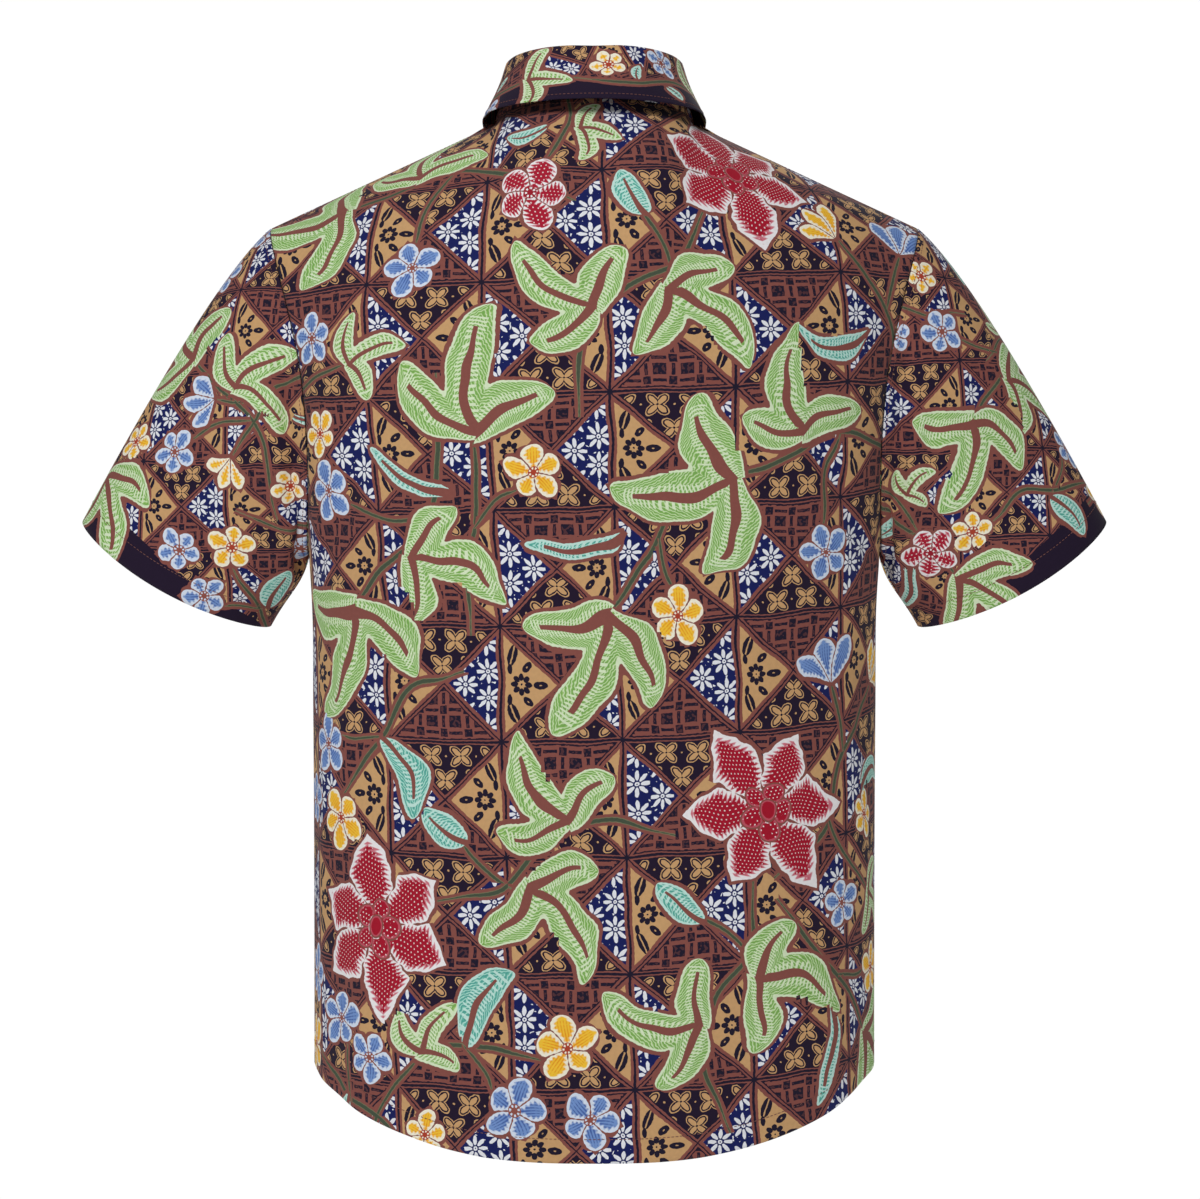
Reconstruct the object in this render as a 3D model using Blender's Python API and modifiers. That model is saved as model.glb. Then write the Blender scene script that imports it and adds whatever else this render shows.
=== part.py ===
"""A short sleeved batik shirt, filled out as it is worn, with nobody in it.

Metres, +Z up. The origin is between the two neck points, at the height of the
shoulder seams' inner ends. The front faces -Y and the wearer's left is +X.
Every cloth piece is an outer surface worked out from the garment's sizes, with
a Solidify wall that grows inwards, and it stays a seam gap clear of the next.
"""

import math
from collections import namedtuple

import bpy
import numpy as np
from mathutils import Vector
from mathutils.bvhtree import BVHTree

# Cloth
WALL = 0.0012
COLLAR_WALL = 0.0015
SEAM_GAP = 0.0003
SIDE_DRAW = 0.0004
TOP_DRAW = 0.0008
LAYER_STEP = 0.0022

# Heights along the body
HEM_AT_SIDE = -0.687
TAIL_LENGTH = 0.052
TAIL_ROUNDING = 1.42
UNDERARM = -0.320
MID_ARMHOLE = -0.200

# Armhole, shoulder and neck
ARMHOLE_HALF_DEPTH = 0.055
NECK_HALF_WIDTH = 0.072
NECK_CENTRE_Y = -0.012
NECK_BACK_REACH = 0.072
NECK_FRONT_REACH = 0.066
NECK_BACK_RISE = 0.0085
NECK_FRONT_DROP = 0.072
NECK_FRONT_ROUNDING = 1.25
NECK_POINT_HEIGHT = -0.0052
SHOULDER_TIP_X = 0.235
SHOULDER_SLOPE = 0.466
NECK_SHARE = 0.30
TIP_ROUNDING = 0.009

# Front opening
LAP = 0.0175
LAP_BLEND = 0.030
BUTTON_HEIGHTS = (-0.135, -0.225, -0.315, -0.405, -0.495, -0.585)
COLLAR_BUTTON_HEIGHT = -0.060
BUTTON_RADIUS = 0.0055
BUTTON_THICKNESS = 0.0024
BUTTON_DISH = 0.0006
BUTTON_SIDES = 20
BUTTON_HOLE_RADIUS = 0.0007
BUTTON_HOLE_OFFSET = 0.0014
BUTTON_HOLES = 4
BUTTON_HOLE_SIDES = 6
BUTTON_EDGE = 0.0005
BUTTON_RIM = (0.55, 0.72, 0.90)

# Collar
STAND_TOP_HALF_WIDTH = 0.0615
STAND_LEAN = 0.009
FOLD_LEG = 0.0012
FOLD_RADIUS = 0.0024
FALL_CLEARANCE = 0.0022
FALL_ENDS = math.radians(4)
FALL_HANDLE = 0.35

# Sleeves
SLEEVE_SWING = 0.17
SLEEVE_DROP = math.radians(60.5)
CUFF_CENTRE = (0.3057, -0.026, -0.3322)
CUFF_HALF_WIDTH = 0.0789
CUFF_HALF_DEPTH = 0.0460
CUFF_BOW = 0.0070
CUFF_BOW_ROUNDING = 2.2
CAP_DROP = math.radians(40)
UNDERARM_DROP = math.radians(74)
CAP_HANDLE = 0.16
UNDERARM_HANDLE = 0.36
CUFF_HANDLE = 0.46

# Mesh divisions
SECTION_SAMPLES = 160
RIM_SAMPLES = 8
MERGE_DISTANCE = 0.00001
NECK_COLUMNS = 5
SHOULDER_COLUMNS = 8
ROWS_BELOW_ARMHOLE = 11
ROWS_LOWER_ARMHOLE = 6
ROWS_SHOULDER = 7
SLEEVE_ROWS = 9
FOLD_ROWS = 4
LIFT_ROUNDS = 4
FALL_ROWS = 4

Ring = namedtuple("Ring", "height half_width back_depth front_depth squareness")
TORSO = (
    Ring(-0.760, 0.2030, 0.128, 0.117, 2.35),
    Ring(-0.600, 0.2030, 0.123, 0.120, 2.35),
    Ring(-0.440, 0.2038, 0.117, 0.124, 2.35),
    Ring(-0.330, 0.2055, 0.119, 0.127, 2.40),
    Ring(-0.260, 0.2115, 0.123, 0.127, 2.50),
    Ring(-0.190, 0.2185, 0.124, 0.121, 2.60),
)

# How the cloth leaves its top edge, at the centre line and at the shoulder seam:
# its drop in degrees and how far it holds that line.
TopWay = namedtuple("TopWay", "centre_drop shoulder_drop centre_reach shoulder_reach")
BACK_TOP = TopWay(52, 0, 0.050, 0.080)
FRONT_TOP = TopWay(62, 12, 0.040, 0.062)
TIP_REACH = 0.65
COLUMN_HANDLE = 0.55
EDGE_HANDLE = 0.38
EDGE_BLEND = 6
SLOPE_STEP = 0.01
RELAX_ROUNDS = 3

# Large soft folds: place along the half girth from the centre line, the heights
# between which it runs, its half width, how far it stands out (+) or in (-), and
# how far its top end leans towards the centre.
Fold = namedtuple("Fold", "place low high spread rise lean")
BACK_FOLDS_LEFT = (
    Fold(0.205, -0.80, -0.42, 0.020, -0.0035, 0.012),
    Fold(0.240, -0.52, -0.30, 0.018, -0.0030, 0.020),
    Fold(0.120, -0.82, -0.50, 0.028, -0.0024, -0.010),
)
BACK_FOLDS_RIGHT = (
    Fold(0.215, -0.80, -0.47, 0.021, -0.0038, 0.016),
    Fold(0.236, -0.48, -0.29, 0.018, -0.0026, 0.014),
    Fold(0.100, -0.81, -0.56, 0.030, -0.0020, 0.006),
)
FRONT_FOLDS_LEFT = (
    Fold(0.195, -0.80, -0.40, 0.021, -0.0034, 0.014),
    Fold(0.235, -0.47, -0.29, 0.018, -0.0030, 0.018),
    Fold(0.110, -0.82, -0.52, 0.026, -0.0022, -0.008),
)
FRONT_FOLDS_RIGHT = (
    Fold(0.210, -0.80, -0.45, 0.020, -0.0036, 0.012),
    Fold(0.237, -0.50, -0.30, 0.018, -0.0026, 0.018),
    Fold(0.125, -0.81, -0.49, 0.028, -0.0020, 0.010),
)

FOLD_FADE = 0.6
SEAM_FADE = 0.12

# The stand's height, by the turn in degrees from the front to the back of the neck.
StandHeight = namedtuple("StandHeight", "turn height")
STAND_HEIGHTS = (
    StandHeight(0, 0.0280),
    StandHeight(45, 0.0325),
    StandHeight(90, 0.0385),
    StandHeight(135, 0.0370),
    StandHeight(180, 0.0345),
)

# The turned down collar's outer edge, by the same turn.
FallEdge = namedtuple("FallEdge", "turn x y z")
FALL_EDGE = (
    FallEdge(4, 0.0400, -0.1010, -0.0985),
    FallEdge(30, 0.0560, -0.0890, -0.0700),
    FallEdge(62, 0.0730, -0.0560, -0.0330),
    FallEdge(92, 0.0805, -0.0120, -0.0080),
    FallEdge(122, 0.0740, 0.0390, -0.0030),
    FallEdge(152, 0.0400, 0.0720, -0.0005),
    FallEdge(180, 0.0000, 0.0810, 0.0000),
)

Finish = namedtuple("Finish", "colour roughness metallic")
BATIK = Finish((0.20, 0.09, 0.08, 1.0), 0.75, 0.0)
BUTTON = Finish((0.10, 0.05, 0.04, 1.0), 0.35, 0.0)


# Numbers along curves


def smooth_step(value):
    """Eases from 0 to 1 as value goes from 0 to 1."""
    t = np.clip(value, 0.0, 1.0)
    return t * t * (3.0 - 2.0 * t)


def read_table(table, place_name, value_name, at):
    """A smooth curve through two columns of a table, read at any place."""
    places = np.array([getattr(row, place_name) for row in table], float)
    values = np.array([getattr(row, value_name) for row in table], float)
    slopes = np.gradient(values, places)
    row = np.clip(np.searchsorted(places, at) - 1, 0, len(places) - 2)
    span = places[row + 1] - places[row]
    t = (at - places[row]) / span
    s = 1 - t
    start = (1 + 2 * t) * s * s * values[row] + t * s * s * span * slopes[row]
    end = t * t * (3 - 2 * t) * values[row + 1] - t * t * s * span * slopes[row + 1]
    return start + end


def bezier(start, leaving, arriving, end, t):
    """A place on a cubic curve, or on many at once."""
    s = 1.0 - t
    return s**3 * start + 3 * s * s * t * leaving + 3 * s * t * t * arriving + t**3 * end


def unit(vectors):
    return vectors / np.linalg.norm(vectors, axis=-1, keepdims=True)


def surface_normals(grid):
    """Unit normals of a grid of points: its columns' way times its rows' way."""
    across = np.gradient(grid, axis=1)
    up = np.gradient(grid, axis=0)
    return unit(np.cross(across, up))


# The body's surface, on the +X half. A share runs across a panel, from 0 at the
# centre line to 1 at the side seam or armhole. Facing is 1 for the back and -1
# for the front.


def armhole_depth(height):
    """How far the armhole's lower edge is from the side line."""
    t = min(max((height - UNDERARM) / (MID_ARMHOLE - UNDERARM), 0.0), 1.0)
    return ARMHOLE_HALF_DEPTH * math.sqrt(1.0 - (1.0 - t) ** 2)


def section_point(height, share, facing):
    """A point of the body's level section, by its share of the length across."""
    half_width = read_table(TORSO, "height", "half_width", height)
    depth = read_table(TORSO, "height", "back_depth" if facing > 0 else "front_depth", height)
    power = read_table(TORSO, "height", "squareness", height)
    edge = math.asin((armhole_depth(height) / depth) ** (power / 2))
    turn = np.linspace(math.pi / 2, edge, SECTION_SAMPLES)
    x = half_width * np.cos(turn).clip(0) ** (2 / power)
    y = depth * np.sin(turn).clip(0) ** (2 / power)
    length = np.concatenate([[0], np.hypot(np.diff(x), np.diff(y)).cumsum()])
    place = share * length[-1]
    return (np.interp(place, length, x), facing * np.interp(place, length, y), height)


def body_section(heights, shares, facing):
    heights = np.broadcast_to(heights, np.shape(shares))
    return np.array([section_point(z, share, facing) for z, share in zip(heights, shares)])


def hem_height(shares):
    """The shirt tail: lowest at the centre, rising to the side seam."""
    turn = math.pi * shares**TAIL_ROUNDING
    return HEM_AT_SIDE - TAIL_LENGTH * (1 + np.cos(turn)) / 2


def neck_point(turn):
    """A point of the neckline by its turn from the centre front, positive to +X."""
    along = math.cos(turn)
    x = NECK_HALF_WIDTH * math.sin(turn)
    if along < 0:
        y = NECK_CENTRE_Y - NECK_BACK_REACH * along
        z = NECK_POINT_HEIGHT - NECK_BACK_RISE * along
    else:
        y = NECK_CENTRE_Y - NECK_FRONT_REACH * along
        z = NECK_POINT_HEIGHT - NECK_FRONT_DROP * along**NECK_FRONT_ROUNDING
    return np.array([x, y, z])


def neck_turn(share, facing):
    """The neckline's turn at a share across a panel."""
    around = min(share / NECK_SHARE, 1.0) * math.pi / 2
    return math.pi - around if facing > 0 else around


def top_point(share, facing):
    """A point of the neckline or, past the neck point, of the shoulder seam."""
    point = neck_point(neck_turn(share, facing))
    along = max(share - NECK_SHARE, 0.0) / (1 - NECK_SHARE)
    point[0] += (SHOULDER_TIP_X - NECK_HALF_WIDTH) * along
    point[2] -= SHOULDER_SLOPE * (SHOULDER_TIP_X - NECK_HALF_WIDTH) * along
    return point


def top_leaving(share, facing):
    """The way and the reach with which the cloth leaves its top edge."""
    way = BACK_TOP if facing > 0 else FRONT_TOP
    across = math.sin(min(share / NECK_SHARE, 1.0) * math.pi / 2)
    along = max(share - NECK_SHARE, 0.0) / (1 - NECK_SHARE)
    drop = math.radians(way.centre_drop + (way.shoulder_drop - way.centre_drop) * across)
    reach = way.centre_reach + (way.shoulder_reach - way.centre_reach) * across
    reach *= 1 - (1 - TIP_REACH) * along
    return np.array([0.0, facing * reach * math.cos(drop), -reach * math.sin(drop)])


def shoulder_columns(shares, facing):
    """The four control points of each column, from the mid armhole to the top."""
    low = body_section(MID_ARMHOLE, shares, facing)
    below = body_section(MID_ARMHOLE - SLOPE_STEP, shares, facing)
    top = np.array([top_point(share, facing) for share in shares])
    arriving = top + np.array([top_leaving(share, facing) for share in shares])
    edge = shares[:, None] ** EDGE_BLEND
    handle = COLUMN_HANDLE + (EDGE_HANDLE - COLUMN_HANDLE) * edge
    slope = (low - below) / SLOPE_STEP
    leaving = low + slope * (top[:, 2:] - low[:, 2:]) * handle
    arriving = arriving - edge * np.array([0.0, 0.0, TIP_ROUNDING])
    return low, leaving, arriving, top


def relax_shoulder(grid):
    """Evens out the cloth between the mid armhole and the top edge."""
    first = ROWS_BELOW_ARMHOLE + ROWS_LOWER_ARMHOLE + 1
    for _ in range(RELAX_ROUNDS):
        beside = mirror(grid[:, 1:2])
        wide = np.concatenate([beside, grid], axis=1)
        inner = wide[1:-1, 1:-1]
        near = wide[1:-1, :-2] + wide[1:-1, 2:] + wide[:-2, 1:-1] + wide[2:, 1:-1]
        evened = inner / 2 + near / 8
        grid[first:-1, :-1] = evened[first - 1 :]
    return grid


def fold_offset(folds, place, height):
    """How far all the folds together move the cloth at a place."""
    total = np.zeros(np.shape(place))
    for fold in folds:
        along = (height - fold.low) / (fold.high - fold.low)
        fade = smooth_step((1 - along) / FOLD_FADE)
        centre = fold.place - fold.lean * np.clip(along, 0, 1)
        across = (place - centre) / fold.spread
        total = total + fold.rise * fade * np.exp(-across * across)
    return total


def body_half(shares, facing, folds):
    """The grid of points of half a back or of one front, from hem to top edge."""
    rows = []
    for step in range(ROWS_BELOW_ARMHOLE):
        t = step / ROWS_BELOW_ARMHOLE
        level = hem_height(shares) * (1 - t) + UNDERARM * t
        rows.append(body_section(level, shares, facing))
    for step in range(ROWS_LOWER_ARMHOLE):
        t = 1 - math.cos(math.pi / 2 * step / ROWS_LOWER_ARMHOLE)
        level = UNDERARM + (MID_ARMHOLE - UNDERARM) * t
        rows.append(body_section(level, shares, facing))
    controls = shoulder_columns(shares, facing)
    for step in range(ROWS_SHOULDER + 1):
        rows.append(bezier(*controls, step / ROWS_SHOULDER))
    grid = relax_shoulder(np.array(rows))
    steps = np.linalg.norm(np.diff(grid[:, :, :2], axis=1), axis=2)
    place = np.zeros(grid.shape[:2])
    place[:, 1:] = steps.cumsum(axis=1)
    offset = fold_offset(folds, place, grid[:, :, 2])
    offset *= smooth_step((1 - shares) / SEAM_FADE)
    return grid - facing * surface_normals(grid) * offset[:, :, None]


def column_shares():
    """Shares across a panel, with one column on the neck point."""
    neck = np.linspace(0, NECK_SHARE, NECK_COLUMNS + 1)
    shoulder = np.linspace(NECK_SHARE, 1, SHOULDER_COLUMNS + 1)
    return np.concatenate([neck, shoulder[1:]])


def draw_in(grid):
    """Pulls a panel's side edge and top edge back from its seams."""
    grid = grid.copy()
    grid[:, -1] -= unit(grid[:, -1] - grid[:, -2]) * SIDE_DRAW
    grid[-1] -= unit(grid[-1] - grid[-2]) * TOP_DRAW
    return grid


def add_lap(grid):
    """Carries a front past the centre line, as the mirror image of its other side."""
    lap = []
    for row in grid:
        lap.append([-LAP, np.interp(LAP, row[:, 0], row[:, 1]), np.interp(LAP, row[:, 0], row[:, 2])])
    return np.concatenate([np.array(lap)[:, None], grid], axis=1)


def mirror(grid):
    """The same grid on the -X side, its columns still running towards +X."""
    return (grid * np.array([-1.0, 1.0, 1.0]))[:, ::-1]


def lap_offset(x):
    """How far the left front and collar stand off the right ones, by place across."""
    return LAYER_STEP * smooth_step((LAP + LAP_BLEND - x) / LAP_BLEND)


# Objects


def finish_material(name, finish):
    material = bpy.data.materials.new(name)
    material.use_nodes = True
    shader = material.node_tree.nodes["Principled BSDF"]
    shader.inputs["Base Color"].default_value = finish.colour
    shader.inputs["Roughness"].default_value = finish.roughness
    shader.inputs["Metallic"].default_value = finish.metallic
    material.diffuse_color = finish.colour
    return material


def grid_faces(rows, columns, closed):
    """The faces of a grid, each with its columns' way times its rows' way out."""
    faces = []
    for row in range(rows - 1):
        for column in range(columns if closed else columns - 1):
            beside = (column + 1) % columns
            low = row * columns
            high = low + columns
            faces.append((low + column, low + beside, high + beside, high + column))
    return faces


def add_cloth(name, grid, finish, collection, wall=WALL, closed=False):
    """A cloth piece: a loft through the grid's rows, and a wall grown inwards."""
    rows, columns = grid.shape[:2]
    points = grid.reshape(-1, 3).tolist()
    mesh = bpy.data.meshes.new(name)
    mesh.from_pydata(points, [], grid_faces(rows, columns, closed))
    mesh.materials.append(finish_material(name + "_cloth", finish))
    mesh.shade_smooth()
    piece = bpy.data.objects.new(name, mesh)
    collection.objects.link(piece)
    grown = piece.modifiers.new("wall", "SOLIDIFY")
    grown.thickness = wall
    grown.offset = -1.0
    return piece


def surface_tree(*grids):
    """A searchable copy of some grids' surfaces."""
    points = []
    faces = []
    for grid in grids:
        first = len(points)
        for face in grid_faces(*grid.shape[:2], False):
            faces.append([first + corner for corner in face])
        points.extend(grid.reshape(-1, 3).tolist())
    return BVHTree.FromPolygons(points, faces)


# Body panels


def make_back(collection):
    shares = column_shares()
    left = draw_in(body_half(shares, 1, BACK_FOLDS_LEFT))
    right = draw_in(body_half(shares, 1, BACK_FOLDS_RIGHT))
    grid = np.concatenate([mirror(right), left[:, 1:]], axis=1)
    add_cloth("back", grid[:, ::-1], BATIK, collection)
    return grid


def make_fronts(collection):
    shares = column_shares()
    left = add_lap(draw_in(body_half(shares, -1, FRONT_FOLDS_LEFT)))
    left = left + surface_normals(left) * lap_offset(left[:, :, :1])
    right = mirror(add_lap(draw_in(body_half(shares, -1, FRONT_FOLDS_RIGHT))))
    add_cloth("front_left", left, BATIK, collection)
    add_cloth("front_right", right, BATIK, collection)
    return left, right


# Sleeves


def armhole_loop(back, front):
    """The +X armhole's edge, from the underarm up the back and down the front."""
    up_back = back[ROWS_BELOW_ARMHOLE:, -1]
    down_front = front[ROWS_BELOW_ARMHOLE:, -1][::-1]
    under = (up_back[:1] + down_front[-1:]) / 2
    tip = (up_back[-1:] + down_front[:1]) / 2
    return np.concatenate([under, up_back[1:-1], tip, down_front[1:-1]])


def loop_turns(loop):
    """A half turn for the loop's way up the back and one for its way down."""
    half = len(loop) // 2
    closed = np.concatenate([loop, loop[:1]])
    steps = np.linalg.norm(np.diff(closed, axis=0), axis=1)
    up = np.concatenate([[0], steps[:half].cumsum()])
    down = steps[half:].cumsum()
    turns = np.concatenate([up / up[-1], 1 + down / down[-1]]) * math.pi
    return turns[:-1]


def cuff_loop(turns):
    """The sleeve's open end: an ellipse square to the sleeve's line."""
    drop = SLEEVE_DROP
    line = unit(np.array([math.cos(drop), -SLEEVE_SWING, -math.sin(drop)]))
    broad = np.array([math.sin(drop), 0.0, math.cos(drop)])
    deep = unit(np.cross(broad, line))
    out = -np.cos(turns)[:, None] * CUFF_HALF_WIDTH
    back = np.sin(turns)[:, None] * CUFF_HALF_DEPTH
    bow = np.abs(np.sin(turns))[:, None] ** CUFF_BOW_ROUNDING * CUFF_BOW
    return np.array(CUFF_CENTRE) + broad * out + deep * back + line * bow, line


def sleeve_grid(back, front):
    """Loops of points from the +X armhole to the cuff."""
    hole = armhole_loop(back, front)
    turns = loop_turns(hole)
    cuff, line = cuff_loop(turns)
    cap = np.array([math.cos(CAP_DROP), 0.0, -math.sin(CAP_DROP)])
    under = np.array([math.cos(UNDERARM_DROP), 0.0, -math.sin(UNDERARM_DROP)])
    height = ((1 - np.cos(turns)) / 2)[:, None]
    leaving = unit(cap * height + under * (1 - height))
    start = hole + leaving * SEAM_GAP
    start[:, 0] += 2 * SEAM_GAP
    length = np.linalg.norm(cuff - start, axis=1, keepdims=True)
    first = start + leaving * length * (CAP_HANDLE * height + UNDERARM_HANDLE * (1 - height))
    second = cuff - line * length * CUFF_HANDLE
    rows = []
    for step in range(SLEEVE_ROWS + 1):
        rows.append(bezier(start, first, second, cuff, step / SLEEVE_ROWS))
    return np.array(rows)


def make_sleeves(back, front_left, front_right, collection):
    left = sleeve_grid(back, front_left)
    right = mirror(sleeve_grid(mirror(back), mirror(front_right)))
    add_cloth("sleeve_left", left, BATIK, collection, closed=True)
    add_cloth("sleeve_right", right, BATIK, collection, closed=True)


# Collar


def neck_outward(turn):
    """Level and square to the neckline."""
    return unit(np.array([math.sin(turn), -math.cos(turn), 0.0]))


def neck_edge(back, front_left, front_right):
    """The panels' own neckline points and their turns, from the left end over the
    back to the right end."""
    count = NECK_COLUMNS + 2
    left = front_left[-1, :count]
    right = front_right[-1, -count:]
    middle = back.shape[1] // 2
    behind = back[-1, middle - NECK_COLUMNS : middle + NECK_COLUMNS + 1][::-1]
    left_point = (left[-1:] + behind[:1]) / 2
    right_point = (right[:1] + behind[-1:]) / 2
    points = np.concatenate([left[:-1], left_point, behind[1:-1], right_point, right[1:]])
    lap = math.asin(LAP / NECK_HALF_WIDTH)
    round_neck = np.arange(4 * NECK_COLUMNS + 1) * (math.pi / 2 / NECK_COLUMNS)
    turns = np.concatenate([[-lap], round_neck, [2 * math.pi + lap]])
    return points, turns


def stand_top(base, turn):
    """The stand's upper edge above a point of the neckline."""
    from_front = math.degrees(math.acos(math.cos(turn)))
    height = read_table(STAND_HEIGHTS, "turn", "height", from_front)
    narrower = STAND_TOP_HALF_WIDTH / NECK_HALF_WIDTH
    return base * np.array([narrower, 1, 1]) + np.array([0, STAND_LEAN * math.cos(turn), height])


def make_stand(back, front_left, front_right, collection):
    """The band round the neck. Its left end laps over its right end."""
    seam, turns = neck_edge(back, front_left, front_right)
    top = np.array([stand_top(point, turn) for point, turn in zip(seam, turns)])
    base = seam + unit(top - seam) * SEAM_GAP
    grid = np.array([base, (base + top) / 2, top])
    add_cloth("collar_stand", grid, BATIK, collection)
    return grid, turns


def row_point(row, turns, turn):
    """A point of a row of the stand at any turn."""
    return np.array([np.interp(turn, turns, row[:, axis]) for axis in range(3)])


def fall_section(turn, stand, turns):
    """The turned down collar at one turn: up from the stand, over and down."""
    base = row_point(stand[0], turns, turn)
    top = row_point(stand[-1], turns, turn)
    rise = unit(top - base)
    out = neck_outward(turn)
    over_lap = lap_offset(abs(top[0])) if turn > math.pi else 0.0
    points = [top - out * WALL + rise * SEAM_GAP]
    centre = top + rise * (SEAM_GAP + FOLD_LEG) + out * (FOLD_RADIUS - WALL)
    for step in range(FOLD_ROWS + 1):
        angle = math.pi * step / FOLD_ROWS
        point = centre + (rise * math.sin(angle) - out * math.cos(angle)) * FOLD_RADIUS
        points.append(point + out * over_lap * step / FOLD_ROWS)
    from_front = math.degrees(math.acos(math.cos(turn)))
    edge = np.array([read_table(FALL_EDGE, "turn", name, from_front) for name in "xyz"])
    edge[0] *= math.copysign(1.0, math.sin(turn))
    start = points[-1]
    reach = np.linalg.norm(edge - start) * FALL_HANDLE
    leaving = start - rise * reach
    arriving = edge + unit(start - edge) * reach
    for step in range(1, FALL_ROWS + 1):
        points.append(bezier(start, leaving, arriving, edge, step / FALL_ROWS))
    return points


def shortfall(point, surface, clearance):
    """How far, and which way, a point has to move to be clear of a surface."""
    place = Vector(point)
    nearest, normal, _, _ = surface.find_nearest(place)
    height = (place - nearest).dot(normal)
    return np.array(normal) * max(clearance - height, 0.0)


def lift_clear(row, surface, clearance):
    """Moves a row's points out, until the row and its edges clear a surface."""
    row = row.copy()
    for _ in range(LIFT_ROUNDS):
        for here in range(len(row) - 1):
            middle = (row[here] + row[here + 1]) / 2
            move = shortfall(middle, surface, clearance)
            row[here] += move
            row[here + 1] += move
        for here in range(len(row)):
            row[here] += shortfall(row[here], surface, clearance)
    return row


def make_fall(back, front_left, front_right, stand, stand_turns, collection):
    """The collar that turns down over the stand, open at the centre front."""
    ends = [[FALL_ENDS], stand_turns[2:-2], [2 * math.pi - FALL_ENDS]]
    sections = [fall_section(turn, stand, stand_turns) for turn in np.concatenate(ends)]
    grid = np.array(sections).transpose(1, 0, 2)
    body = surface_tree(back[:, ::-1], front_left, front_right)
    for row in range(FOLD_ROWS + 3, len(grid)):
        grid[row] = lift_clear(grid[row], body, COLLAR_WALL + FALL_CLEARANCE)
    add_cloth("collar_fall", grid[:, ::-1], BATIK, collection, wall=COLLAR_WALL)


# Buttons


def turned_button(collection):
    """A dished button with four holes, turned from its profile."""
    radius = BUTTON_RADIUS
    dish, rim, shoulder = (share * radius for share in BUTTON_RIM)
    half = BUTTON_THICKNESS / 2
    profile = (
        (0.0, half - BUTTON_DISH),
        (dish, half - BUTTON_DISH),
        (rim, half),
        (shoulder, half),
        (radius, half - BUTTON_EDGE),
        (radius, BUTTON_EDGE - half),
        (shoulder, -half),
        (0.0, -half),
    )
    mesh = bpy.data.meshes.new("button_profile")
    edges = [(step, step + 1) for step in range(len(profile) - 1)]
    mesh.from_pydata([(x, 0.0, z) for x, z in profile], edges, [])
    button = bpy.data.objects.new("button_pattern", mesh)
    collection.objects.link(button)
    turn = button.modifiers.new("turn", "SCREW")
    turn.steps = BUTTON_SIDES
    turn.render_steps = BUTTON_SIDES
    turn.use_merge_vertices = True
    turn.merge_threshold = MERGE_DISTANCE
    cutters = []
    for step in range(BUTTON_HOLES):
        angle = 2 * math.pi * (step + 0.5) / BUTTON_HOLES
        bpy.ops.mesh.primitive_cylinder_add(
            vertices=BUTTON_HOLE_SIDES,
            radius=BUTTON_HOLE_RADIUS,
            depth=BUTTON_THICKNESS * 3,
            location=(
                math.cos(angle) * BUTTON_HOLE_OFFSET,
                math.sin(angle) * BUTTON_HOLE_OFFSET,
                0.0,
            ),
        )
        cutter = bpy.context.active_object
        cut = button.modifiers.new("hole", "BOOLEAN")
        cut.operation = "DIFFERENCE"
        cut.solver = "EXACT"
        cut.object = cutter
        cutters.append(cutter)
    bpy.context.view_layer.update()
    graph = bpy.context.evaluated_depsgraph_get()
    finished = bpy.data.meshes.new_from_object(button.evaluated_get(graph))
    for used in [button, *cutters]:
        bpy.data.objects.remove(used)
    finished.name = "button"
    finished.materials.clear()
    finished.materials.append(finish_material("button_plastic", BUTTON))
    return finished


def button_seat(surface, height):
    """Where a button at a height on the centre line sits, and the way it faces."""
    hit, _, _, _ = surface.ray_cast(Vector((0, -1, height)), Vector((0, 1, 0)))
    rim = []
    for step in range(RIM_SAMPLES):
        angle = 2 * math.pi * step / RIM_SAMPLES
        x = math.cos(angle) * BUTTON_RADIUS
        z = height + math.sin(angle) * BUTTON_RADIUS
        rim.append(surface.ray_cast(Vector((x, -1, z)), Vector((0, 1, 0)))[0])
    quarter = RIM_SAMPLES // 4
    across = rim[0] - rim[2 * quarter]
    facing = across.cross(rim[quarter] - rim[3 * quarter]).normalized()
    proud = max((place - hit).dot(facing) for place in [hit, *rim])
    return hit + facing * (proud + SEAM_GAP + BUTTON_THICKNESS / 2), facing


def make_buttons(front_left, stand, collection):
    """Six buttons down the left front and one on the stand, each just off the cloth."""
    mesh = turned_button(collection)
    front = surface_tree(front_left)
    band = surface_tree(stand)
    places = [(f"button_{i + 1}", front, z) for i, z in enumerate(BUTTON_HEIGHTS)]
    places.append(("button_collar", band, COLLAR_BUTTON_HEIGHT))
    for name, surface, height in places:
        button = bpy.data.objects.new(name, mesh)
        button.location, facing = button_seat(surface, height)
        button.rotation_mode = "QUATERNION"
        button.rotation_quaternion = facing.to_track_quat("Z", "Y")
        collection.objects.link(button)


def clear_scene():
    for used in list(bpy.data.objects):
        bpy.data.objects.remove(used)


def main():
    clear_scene()
    collection = bpy.data.collections.new("batik_shirt")
    bpy.context.scene.collection.children.link(collection)
    back = make_back(collection)
    front_left, front_right = make_fronts(collection)
    make_sleeves(back, front_left, front_right, collection)
    stand, stand_turns = make_stand(back, front_left, front_right, collection)
    make_fall(back, front_left, front_right, stand, stand_turns, collection)
    make_buttons(front_left, stand, collection)


main()
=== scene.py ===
"""The looks of a short sleeved batik shirt, filled out as it is worn, with nobody in it.

Metres, +Z up. The origin is between the two neck points, the front faces -Y and
the wearer's left is +X. Each cloth piece is one continuous sheet with its hems
and seam allowances turned in, and its print is placed on the piece as it was cut.
"""

import math
from collections import namedtuple

import bpy
import numpy as np
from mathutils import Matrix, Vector, kdtree
from mathutils.bvhtree import BVHTree


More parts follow.
